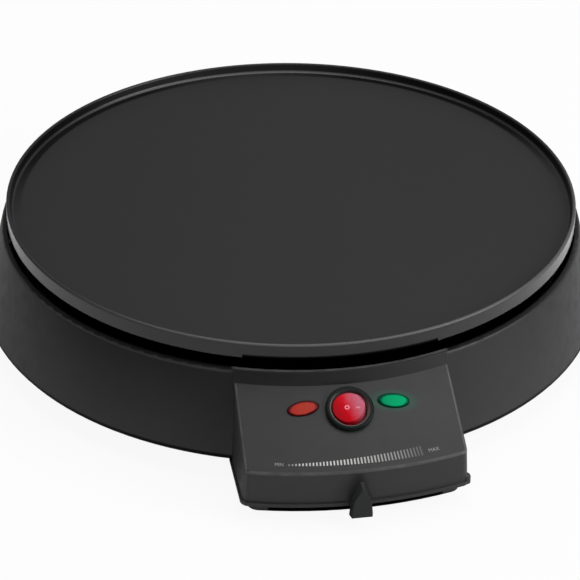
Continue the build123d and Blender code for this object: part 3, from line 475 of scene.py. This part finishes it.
def painted_edge_highlights(shader, colour):
    """Painted highlights along the lip over the control box and the panel's side and front edges, in
    patches.
    """
    patchy = shader.rise(shader.noise(120.0, detail=3.0, roughness=0.6), 0.35, 0.6, bottom=0.5)
    lip = shader.product(
        shader.band(shader.radius, LIP_LINE_R, soft=0.0004), shader.over(shader.z, LIP_LINE_Z, soft=0.0003),
        shader.over(shader.up, 0.5, soft=0.2), shader.inverse(beyond_box(shader)))
    side_line = shader.maths("ADD", shader.aside, shader.product(shader.z, SIDE_SLOPE))
    sides = shader.product(
        shader.band(side_line, (SIDE_REACH - 0.0012, SIDE_REACH - 0.0007), soft=0.0003),
        shader.band(shader.radius, (PANEL_FOOT_R + 0.0003, PANEL_FRONT_R), soft=0.0005),
        shader.over(shader.up, 0.2, soft=0.2), shader.under(shader.y, FRONT_Y, soft=0.001))
    front = shader.product(
        shader.band(shader.radius, (PANEL_FRONT_R - 0.0007, PANEL_FRONT_R + 0.0002), soft=0.0003),
        shader.band(shader.z, (PANEL_FRONT_Z - 0.0010, PANEL_FRONT_Z + 0.0011), soft=0.0004),
        shader.over(shader.up, 0.3, soft=0.2))
    edges = shader.maths("ADD", shader.product(sides, 0.75), shader.product(front, 0.6), clamp=True)
    return shader.blend(shader.product(shader.either(lip, edges), patchy), colour, grey(0.13))


def housing_zones(shader, colour):
    """Painted light on the housing: shade on the skirt, the green lamp's spill, and edge highlights."""
    return painted_edge_highlights(shader, lamp_spill(shader, skirt_painted_shade(shader, colour)))


def tray_slot_shade(shader, colour):
    """Painted shade inside the lever's slot and along its edge, with the reflection taken off."""
    within = shader.product(
        shader.band(shader.radius, SLOT_R, soft=0.0001), shader.over(shader.up, -0.5, soft=0.1))
    edge = shader.product(
        shader.band(shader.radius, SLOT_EDGE_R, soft=0.0001),
        shader.band(shader.z, SLOT_EDGE_Z, soft=0.0003))
    dark = shader.product(
        shader.either(within, edge), shader.under(shader.y, FRONT_Y, soft=0.01),
        shader.under(shader.aside, SLOT_REACH, soft=0.0003))
    shader.dull(dark)
    return shader.blend(dark, colour, grey(0.0015))


def bezel_painted_light(shader, colour):
    """Painted shade on the outer ring, and a painted reflection on the funnel inside it, paler lower down.
    """
    place = shader.local(switch_frame(), (1.0, 1.0, 1.0))
    reach = shader.flat_length(place)
    ring = shader.over(reach, BEZEL_RING_R, soft=0.0002)
    lit = shader.fall(shader.split(place)[1], 0.001, 0.008, bottom=0.2)
    shader.dull(shader.product(ring, 0.65))
    colour = shader.blend(ring, colour, (0.0055, 0.0098, 0.0082))
    return shader.blend(
        shader.product(shader.band(reach, FUNNEL_R, soft=0.0002), lit), colour, (0.16, 0.14, 0.13))


# ------------------------------------------------------------------ metals

def painted_notch_shade(shader):
    """Mask of painted shade on the plate's lower edge over the control box, where the notch runs higher."""
    return shader.product(
        shader.under(shader.aside, NOTCH_REACH, soft=0.0002), shader.under(shader.y, 0.0, soft=0.01),
        shader.under(shader.z, NOTCH_TOP_Z, soft=0.0003),
        shader.over(shader.radius, NOTCH_INNER_R, soft=0.0002))


def plate_painted_light(shader, colour, plain, notch):
    """Painted shade on rim wall, notch and side, a painted shadow ring, and painted crest and foot
    highlights.
    """
    # Painted shadow of the rim on the rear of the flat.
    rim_shadow = shader.product(
        shader.band(shader.radius, RIM_SHADOW_R, soft=0.0012), shader.over(shader.up, 0.9, soft=0.05),
        shader.rise(shader.aside, 0.0, 0.06, bottom=0.1), shader.rise(shader.y, 0.02, 0.08))
    rim_wall = shader.product(
        shader.band(shader.radius, RIM_WALL_R, soft=0.0002), shader.under(shader.up, 0.45, soft=0.2))
    # Painted shade on the rim's inner wall: paler at the rear middle, darker to either side.
    wall_shade = shader.blend(shader.rise(shader.aside, 0.03, 0.11), tint(plain, 1.2), tint(plain, 0.25))
    side = shader.product(
        shader.over(shader.radius, SIDE_R, soft=0.0001), shader.under(shader.up, 0.5, soft=0.2))
    # Painted highlights on the rim's crest and foot.
    crest = shader.product(
        shader.band(shader.radius, CREST_R, soft=0.0002), shader.over(shader.z, CREST_Z, soft=0.0002),
        shader.rise(shader.x, -0.125, -0.05, bottom=0.15), shader.fall(shader.y, -0.04, 0.04, bottom=0.2))
    foot = shader.product(
        shader.band(shader.z, RIM_FOOT_Z, soft=0.0002), shader.band(shader.radius, RIM_FOOT_R, soft=0.0003),
        shader.rise(shader.y, -0.02, 0.05), shader.fall(shader.aside, 0.03, 0.12, bottom=0.1))
    shader.dull(shader.either(notch, shader.product(rim_shadow, 0.8)))
    colour = shader.blend(rim_wall, colour, wall_shade)
    colour = shader.blend(rim_shadow, colour, tint(plain, 0.1))
    colour = shader.blend(notch, colour, tint(plain, 0.1))
    # Painted shade: the side darker than the flat.
    colour = shader.blend(side, colour, tint(plain, 0.7))
    return shader.blend(shader.product(shader.either(crest, foot), 0.9), colour, tint(plain, 5.5))


def coated_metal(name, colour, rough, turned_rough=(0.24, 0.30), **constants):
    """Sprayed non-stick coating: pebbled film with tiny flecks, glossier on the turned side and rim."""
    shader = Shader(name, colour, rough, Coat_Roughness=0.14, Coat_IOR=1.28, **constants)
    pebble = shader.noise(1500.0, detail=4.0, roughness=0.6)
    cloud = shader.noise(16.0, detail=4.0, roughness=0.6)
    fleck = shader.noise(5200.0, detail=1.0, roughness=0.5)
    rounded = shader.rounded(0.0006)
    base = shader.blend(cloud, tint(colour, 0.9), tint(colour, 1.1))
    # Painted shade: the coating darker towards the left.
    base = shader.blend(shader.fall(shader.x, -0.14, 0.04, top=0.34), base, tint(colour, 0.2))
    flecked = shader.blend(shader.rise(fleck, 0.68, 0.8, top=0.5), base, tint(colour, 2.2))
    worn = shader.blend(shader.product(shader.edges(rounded), 0.5), flecked, tint(colour, 1.5))
    notch = painted_notch_shade(shader)
    shader.to(plate_painted_light(shader, worn, colour, notch), "Base Color")
    glossy = shader.product(
        shader.over(shader.radius, SIDE_R, soft=0.0001), shader.under(shader.z, SIDE_TOP_Z, soft=0.0003),
        shader.inverse(notch))
    shader.to(glossy, "Coat Weight")
    flat = shader.product(
        shader.over(shader.up, 0.985, soft=0.01), shader.under(shader.radius, FLAT_EDGE_R, soft=0.0005))
    film = shader.product(shader.rise(cloud, 0.35, 0.65, rough - 0.03, rough + 0.04), flat)
    turned = shader.product(shader.rise(cloud, 0.35, 0.65, *turned_rough), shader.inverse(flat))
    shader.to(shader.maths("ADD", film, turned), "Roughness")
    shader.bump(pebble, strength=0.5, distance=0.00008, normal=rounded)
    return shader.material


def worked_metal(name, colour, rough, lines, zones=None):
    """Rolled or drawn metal: draw lines, stains and brighter rubbed edges."""
    shader = Shader(name, colour, rough, Metallic=1.0)
    grain = shader.noise(1.0, detail=5.0, roughness=0.65, stretch=lines)
    stain = shader.noise(90.0, detail=5.0, roughness=0.6)
    rounded = shader.rounded(0.0004)
    base = shader.blend(shader.rise(stain, 0.4, 0.65), tint(colour, 0.78), colour)
    lined = shader.blend(shader.rise(grain, 0.4, 0.6, top=0.4), base, tint(colour, 0.7))
    rubbed = shader.blend(shader.edges(rounded), lined, tint(colour, 1.25))
    shader.to(zones(shader, rubbed) if zones else rubbed, "Base Color")
    shader.to(shader.rise(grain, 0.3, 0.7, rough - 0.1, rough + 0.1), "Roughness")
    shader.bump(grain, strength=0.4, distance=0.00003, normal=rounded)
    return shader.material


def shield_painted_shade(shader, colour):
    """Painted shade on the shield's upper face and round its rim."""
    shield_shade = shader.either(
        shader.over(shader.radius, SHIELD_RIM_R, soft=0.01), shader.over(shader.up, 0.1, soft=0.2))
    return shader.blend(shield_shade, colour, (0.024, 0.024, 0.023))


# ------------------------------------------------------------------ ceramic, rubber, lenses and inks

def fired_ceramic(name, colour):
    """Unglazed ceramic: chalky, with dark specks and pressed-in pores."""
    shader = Shader(name, colour, 0.8)
    grain = shader.noise(2200.0, detail=4.0, roughness=0.7)
    speck = shader.noise(700.0, detail=2.0, roughness=0.5)
    base = shader.blend(grain, tint(colour, 0.88), tint(colour, 1.05))
    specked = shader.blend(shader.rise(speck, 0.66, 0.72, top=0.6), base, tint(colour, 0.45))
    shader.to(specked, "Base Color")
    shader.to(shader.rise(grain, 0.3, 0.7, 0.72, 0.9), "Roughness")
    shader.bump(grain, strength=0.6, distance=0.00008, normal=shader.rounded(0.0004))
    return shader.material


def soft_rubber(name, colour):
    """Foot rubber: dull, with a talc bloom and scuffed edges."""
    shader = Shader(name, colour, 0.85)
    bloom = shader.noise(260.0, detail=5.0, roughness=0.65)
    grain = shader.noise(1800.0, detail=3.0, roughness=0.6)
    rounded = shader.rounded(0.0008)
    base = shader.blend(shader.rise(bloom, 0.4, 0.7, top=0.5), colour, tint(colour, 2.4))
    scuffed = shader.blend(shader.product(shader.edges(rounded), 0.5), base, tint(colour, 3.0))
    shader.to(scuffed, "Base Color")
    shader.to(shader.rise(bloom, 0.3, 0.7, 0.8, 0.95), "Roughness")
    shader.bump(grain, strength=0.7, distance=0.0001, normal=rounded)
    return shader.material


def clear_tinted(name, place, size, colour_and_reflection, edge_shade, glow, sheen, rim, lean=0.0):
    """Tinted translucent moulding: three colours from left to right, painted shade round the rim and a
    faint glow.
    """
    rough = 0.14
    shader = Shader(
        name, colour_and_reflection[1], rough, IOR=1.49, Specular_IOR_Level=0.2, Specular_Tint=(*sheen, 1.0),
        Emission_Strength=glow)
    local = shader.local(place, size)
    x, y, _ = shader.split(local)
    ripple = shader.noise(420.0, detail=3.0, roughness=0.6)
    along = shader.maths("ADD", x, shader.rise(ripple, 0.3, 0.7, -0.1, 0.1))
    along = shader.maths("ADD", along, shader.product(y, lean))
    reach = shader.maths("ADD", shader.flat_length(local), shader.rise(ripple, 0.3, 0.7, -0.05, 0.05))
    colour = shader.blend(shader.rise(along, -0.9, 0.0, kind="SMOOTHSTEP"), colour_and_reflection[0], colour_and_reflection[1])
    colour = shader.blend(shader.rise(along, -0.3, 0.95, kind="SMOOTHSTEP"), colour, colour_and_reflection[2])
    colour = shader.blend(shader.rise(reach, *rim), colour, edge_shade)
    shader.to(colour, "Base Color")
    shader.to(colour, "Emission Color")
    shader.to(shader.rise(ripple, 0.3, 0.7, rough, rough + 0.12), "Roughness")
    shader.bump(ripple, strength=0.25, distance=0.0002)
    return shader.material


def neon_glass():
    """Small gas lamp: clear glass with a warm fill."""
    shader = Shader("neon_glass", (0.95, 0.62, 0.42), 0.08, Transmission_Weight=0.7, IOR=1.47)
    swirl = shader.noise(600.0, detail=3.0, roughness=0.5)
    shader.to(shader.blend(swirl, (0.95, 0.7, 0.5), (0.9, 0.42, 0.25)), "Base Color")
    shader.to(shader.rise(swirl, 0.3, 0.7, 0.05, 0.15), "Roughness")
    return shader.material


def print_ink(name, bright, faint):
    """Silver-white pad print, worn thin at the low end and greyer towards the hot end of the scale."""
    shader = Shader(name, bright, 0.6)
    thin = shader.either(
        shader.fall(shader.x, -0.0325, -0.0275, top=0.75), shader.rise(shader.x, -0.006, 0.030))
    speckle = shader.noise(2400.0, detail=2.0, roughness=0.6)
    ink = shader.blend(thin, bright, faint)
    shader.to(shader.blend(shader.rise(speckle, 0.5, 0.75, top=0.5), ink, tint(faint, 0.8)), "Base Color")
    shader.to(shader.rise(speckle, 0.3, 0.7, 0.5, 0.7), "Roughness")
    return shader.material


def mark_ink():
    """Pale ink of the rocker's marks, with pinholes."""
    pale, pinhole = (0.88, 0.28, 0.36), (0.8, 0.1, 0.16)
    shader = Shader("rocker_mark_ink", pale, 0.4)
    speckle = shader.noise(3000.0, detail=2.0, roughness=0.6)
    shader.to(shader.blend(shader.rise(speckle, 0.45, 0.75, top=0.6), pale, pinhole), "Base Color")
    shader.to(shader.rise(speckle, 0.3, 0.7, 0.3, 0.5), "Roughness")
    return shader.material


# ------------------------------------------------------------------ the part's materials

def black_plastics():
    """The black mouldings: housing, tray with painted shade in its slot, lever and switch body."""
    black, satin = (0.022, 0.022, 0.0225), 0.46
    return {
        "black_plastic": moulded_plastic(
            "housing_plastic", black, satin, zones=housing_zones, Specular_IOR_Level=0.4),
        "bottom_tray": moulded_plastic(
            "tray_plastic", black, satin, zones=tray_slot_shade, Specular_IOR_Level=0.4),
        "lever_plastic": moulded_plastic(
            "lever_plastic", (0.012, 0.013, 0.013), 0.42, grain=3200.0, depth=0.00004,
            Specular_IOR_Level=0.3),
        "switch_black": moulded_plastic(
            "switch_nylon", (0.008, 0.012, 0.011), 0.26, grain=3600.0, depth=0.00002, edge=0.0003,
            wear=2.0, zones=bezel_painted_light, Specular_IOR_Level=0.25),
    }


def tinted_plastics():
    """The red rocker and the two lenses."""
    lens_rim = (0.74, 0.90)
    return {
        # Rocker: its pink right side is painted reflection, its rim painted shade, and its glow painted
        # light; it is no lamp.
        "rocker_red": clear_tinted(
            "rocker_red", rocker_frame(), ROCKER_TINT_SIZE,
            colour_and_reflection=((0.30, 0.001, 0.004), (0.53, 0.0015, 0.009), (0.58, 0.16, 0.23)),
            edge_shade=(0.20, 0.001, 0.006), glow=0.14, sheen=(1.0, 0.15, 0.2), rim=(0.84, 1.0), lean=0.5),
        # Lenses: their rims are painted shade, and the green lens is brighter to the right as painted
        # light.
        "lens_red": clear_tinted(
            "lens_red", lamp_frame(-1, LENS_TINT_SHIFT), LENS_HALF,
            colour_and_reflection=((0.36, 0.020, 0.018), (0.375, 0.033, 0.018), (0.36, 0.037, 0.027)),
            edge_shade=(0.05, 0.001, 0.005), glow=0.12, sheen=(1.0, 0.4, 0.35), rim=lens_rim),
        "lens_green": clear_tinted(
            "lens_green", lamp_frame(1, LENS_TINT_SHIFT), LENS_HALF,
            colour_and_reflection=((0.001, 0.20, 0.080), (0.001, 0.265, 0.095), (0.001, 0.30, 0.115)),
            edge_shade=(0.0, 0.030, 0.016), glow=0.25, sheen=(0.05, 1.0, 0.6), rim=lens_rim),
    }


def make_materials():
    """Material for each of the record's slots, and for the tray, whose slot has painted shade inside."""
    return {
        "nonstick_aluminium": coated_metal(
            "nonstick_coating", (0.019, 0.019, 0.0195), 0.55, Specular_IOR_Level=0.28),
        **black_plastics(),
        **tinted_plastics(),
        "holder_white": moulded_plastic(
            "natural_nylon", (0.72, 0.70, 0.64), 0.5, grain=1800.0, depth=0.00004, edge=0.0004, wear=1.1),
        "neon_glass": neon_glass(),
        "sheath_steel": worked_metal("element_sheath", (0.30, 0.285, 0.27), 0.42, (60.0, 60.0, 60.0)),
        "shield_aluminium": worked_metal(
            "rolled_aluminium", (0.78, 0.78, 0.79), 0.30, (30.0, 700.0, 30.0), shield_painted_shade),
        "zinc_steel": worked_metal("zinc_plate", (0.60, 0.61, 0.64), 0.34, (120.0, 120.0, 120.0)),
        "tab_brass": worked_metal("tinned_brass", (0.74, 0.66, 0.42), 0.32, (500.0, 60.0, 60.0)),
        "ceramic": fired_ceramic("steatite", (0.80, 0.77, 0.70)),
        "foot_rubber": soft_rubber("foot_rubber", (0.020, 0.020, 0.020)),
    }


def dress(materials):
    """Gives each CAD node its own material where there is one, and otherwise that of its slot."""
    for part in frame["record"]["subparts"]:
        thing = frame["nodes"][part["node"]]
        thing.data.materials.clear()
        thing.data.materials.append(materials.get(part["node"], materials[part["material_slot"]]))


# ------------------------------------------------------------------ printed scale and marks

def scale_ticks(material):
    """Wedge of fine strokes along the panel's front edge, growing from the low end to the high end."""
    count, first, last = 40, radians(-9.9), radians(9.4)
    low_base, high_base = 0.1917, 0.1923
    shortest, growth, growth_power = 0.0008, 0.0042, 0.9
    half_stroke = 0.00036
    sunk, proud = -0.00004, 0.00003
    mesh = bmesh.new()
    for i in range(count):
        share = i / (count - 1)
        bearing = first + (last - first) * share
        base = low_base + (high_base - low_base) * share
        top = base - (shortest + growth * share ** growth_power) * cos(PANEL_ANGLE)
        half = half_stroke / base
        left, right = bearing - half, bearing + half
        corners = ((left, base), (right, base), (right, top), (left, top))
        slab(mesh, [on_panel(b, r, sunk) for b, r in corners], [on_panel(b, r, proud) for b, r in corners])
    piece("scale_ticks", mesh, material, "base")


def panel_word(name, text, bearing, radius, size, material):
    """A word in plain capitals, laid along the panel's arc."""
    curve = bpy.data.curves.new(name + "_outline", "FONT")
    curve.body = text
    curve.size = size
    curve.align_x = "CENTER"
    curve.align_y = "CENTER"
    curve.resolution_u = 3
    curve.extrude = 0.00003
    source = bpy.data.objects.new(name + "_outline", curve)
    bpy.context.scene.collection.objects.link(source)
    bpy.context.view_layer.update()
    graph = bpy.context.evaluated_depsgraph_get()
    flat = bpy.data.meshes.new_from_object(source.evaluated_get(graph))
    mesh = bmesh.new()
    mesh.from_mesh(flat)
    bmesh.ops.remove_doubles(mesh, verts=mesh.verts, dist=1e-7)
    for vertex in mesh.verts:
        x, y, z = vertex.co
        vertex.co = on_panel(bearing + x / radius, radius - y * cos(PANEL_ANGLE), z)
    bpy.data.objects.remove(source)
    bpy.data.meshes.remove(flat)
    bpy.data.curves.remove(curve)
    piece(name, mesh, material, "base")


def rocker_point(x, y, lift):
    """Point on the rocker's hollowed top, as it stands at rest."""
    height = ROCKER_RISE + ROCKER_ROUND - sqrt(ROCKER_ROUND ** 2 - x ** 2)
    return rocker_frame() @ Vector((x, y, height + lift))


def rocker_marks(material):
    """Open circle and bar on the rocker."""
    sunk, proud = -0.00004, 0.00004
    mesh = bmesh.new()
    steps, centre, inner, outer = 36, -0.0009, 0.0006, 0.0012
    turns = [2 * pi * i / steps for i in range(steps)]
    sections = ((inner, sunk), (outer, sunk), (outer, proud), (inner, proud))
    rings = [
        [mesh.verts.new(rocker_point(centre + r * cos(turn), r * sin(turn), lift)) for turn in turns]
        for r, lift in sections]
    for here, there in zip(rings, rings[1:] + rings[:1]):
        for i in range(steps):
            j = (i + 1) % steps
            mesh.faces.new((here[i], here[j], there[j], there[i]))
    low_x, high_x, half_y = 0.0033, 0.0054, 0.00045
    corners = ((low_x, -half_y), (high_x, -half_y), (high_x, half_y), (low_x, half_y))
    low, high = ([rocker_point(x, y, lift) for x, y in corners] for lift in (sunk, proud))
    slab(mesh, low, high)
    piece("rocker_marks", mesh, material, "rocker")


def print_panel():
    """The heat scale, the words at its ends and the rocker's marks."""
    scale_ticks(print_ink("scale_print", (0.64, 0.64, 0.62), (0.11, 0.11, 0.11)))
    words_ink = print_ink("words_print", (0.36, 0.36, 0.35), (0.30, 0.30, 0.30))
    panel_word("mark_low", "MIN", radians(-11.3), radius=0.1912, size=0.0024, material=words_ink)
    panel_word("mark_high", "MAX", radians(11.3), radius=0.1908, size=0.0026, material=words_ink)
    rocker_marks(mark_ink())


# ------------------------------------------------------------------ studio

# Area lamps, each aimed at the middle of the part: name, place, width, height, power in watts
STUDIO_LAMPS = (
    ("overhead", (0.25, 0.35, 1.7), 1.8, 1.4, 16.0),
    ("left_box", (-1.7, 0.2, 0.9), 0.5, 0.9, 1.6),
    ("right_box", (1.42, -0.85, 0.9), 1.1, 1.3, 21.5),
)
LAMP_AIM = Vector((0, 0, 0.05))
FLOOR_HALF = 6.0
FLOOR_SEEN_WHITE = 0.92
WORLD_STRENGTH = 0.25

# Camera, fitted to the photograph: it looks down on the part from a little left of its front.
PHOTO_WIDTH = 580.0
FOCUS = 2500.0
SENSOR = 36.0
CAMERA_DISTANCE = 1.3264
CAMERA_AZIMUTH = radians(10.05)
CAMERA_ELEVATION = radians(29.93)
CAMERA_TILT = radians(-1.98)
CAMERA_ROLL = radians(-0.667)
CAMERA_TARGET_Z = 0.0620


def white_seen(tree, shader_output, share):
    """Mixes in plain white, at a share, for what the camera sees."""
    nodes, links = tree.nodes, tree.links
    path = nodes.new("ShaderNodeLightPath")
    part = nodes.new("ShaderNodeMath")
    part.operation = "MULTIPLY"
    part.inputs[1].default_value = share
    links.new(path.outputs["Is Camera Ray"], part.inputs[0])
    mix = nodes.new("ShaderNodeMixShader")
    links.new(part.outputs[0], mix.inputs[0])
    links.new(shader_output, mix.inputs[1])
    return mix


def make_floor():
    """Pale floor that keeps the part's soft shadow."""
    mesh = bpy.data.meshes.new("studio_floor")
    corners = [(x * FLOOR_HALF, y * FLOOR_HALF, 0) for x, y in ((-1, -1), (1, -1), (1, 1), (-1, 1))]
    mesh.from_pydata(corners, [], [(0, 1, 2, 3)])
    floor = bpy.data.objects.new("studio_floor", mesh)
    bpy.context.scene.collection.objects.link(floor)
    material = bpy.data.materials.new("studio_floor_paint")
    material.use_nodes = True
    tree = material.node_tree
    shader = tree.nodes["Principled BSDF"]
    shader.inputs["Base Color"].default_value = (*grey(0.86), 1.0)
    shader.inputs["Roughness"].default_value = 0.9
    shader.inputs["Specular IOR Level"].default_value = 0.0
    glow = tree.nodes.new("ShaderNodeEmission")
    mix = white_seen(tree, shader.outputs[0], FLOOR_SEEN_WHITE)
    tree.links.new(glow.outputs[0], mix.inputs[2])
    tree.links.new(mix.outputs[0], tree.nodes["Material Output"].inputs["Surface"])
    mesh.materials.append(material)


def make_world():
    """Even white light all round, and a plain white background for the camera."""
    world = bpy.data.worlds.new("studio")
    world.use_nodes = True
    tree = world.node_tree
    plain = tree.nodes["Background"]
    plain.inputs["Color"].default_value = (*grey(1.0), 1.0)
    plain.inputs["Strength"].default_value = WORLD_STRENGTH
    white = tree.nodes.new("ShaderNodeBackground")
    white.inputs["Color"].default_value = (*grey(1.0), 1.0)
    mix = white_seen(tree, plain.outputs[0], 1.0)
    tree.links.new(white.outputs[0], mix.inputs[2])
    tree.links.new(mix.outputs[0], tree.nodes["World Output"].inputs["Surface"])
    bpy.context.scene.world = world


def softbox(name, place, width, height, power):
    """Area lamp aimed at the part; it isn't seen directly."""
    lamp = bpy.data.lights.new(name, "AREA")
    lamp.shape = "RECTANGLE"
    lamp.size = width
    lamp.size_y = height
    lamp.energy = power
    thing = bpy.data.objects.new(name, lamp)
    bpy.context.scene.collection.objects.link(thing)
    thing.location = place
    thing.rotation_mode = "QUATERNION"
    thing.rotation_quaternion = (LAMP_AIM - Vector(place)).to_track_quat("-Z", "Y")
    thing.visible_camera = False


def make_camera():
    """Camera at the photograph's viewing angle."""
    azimuth, elevation = CAMERA_AZIMUTH, CAMERA_ELEVATION
    forward = Vector((cos(elevation) * sin(azimuth), cos(elevation) * cos(azimuth), -sin(elevation)))
    right = Vector((cos(azimuth), -sin(azimuth), 0.0))
    up = right.cross(forward)
    place = AXIS + Vector((0, 0, CAMERA_TARGET_Z)) - forward * CAMERA_DISTANCE
    pitch = Matrix.Rotation(CAMERA_TILT, 3, right)
    forward, up = pitch @ forward, pitch @ up
    turn = Matrix.Rotation(CAMERA_ROLL, 3, forward)
    right, up = turn @ right, turn @ up
    data = bpy.data.cameras.new("camera")
    data.sensor_width = SENSOR
    data.lens = SENSOR * FOCUS / PHOTO_WIDTH
    data.clip_start, data.clip_end = 0.05, 30.0
    camera = bpy.data.objects.new("camera", data)
    bpy.context.scene.collection.objects.link(camera)
    basis = Matrix((right, up, -forward)).transposed().to_4x4()
    camera.matrix_world = Matrix.Translation(place) @ basis
    bpy.context.scene.camera = camera


def make_studio():
    """Floor, background, lamps and camera."""
    make_floor()
    make_world()
    for lamp in STUDIO_LAMPS:
        softbox(*lamp)
    make_camera()
    bpy.context.scene.view_settings.view_transform = "Standard"


# ------------------------------------------------------------------ scene


dress(make_materials())
print_panel()
make_studio()
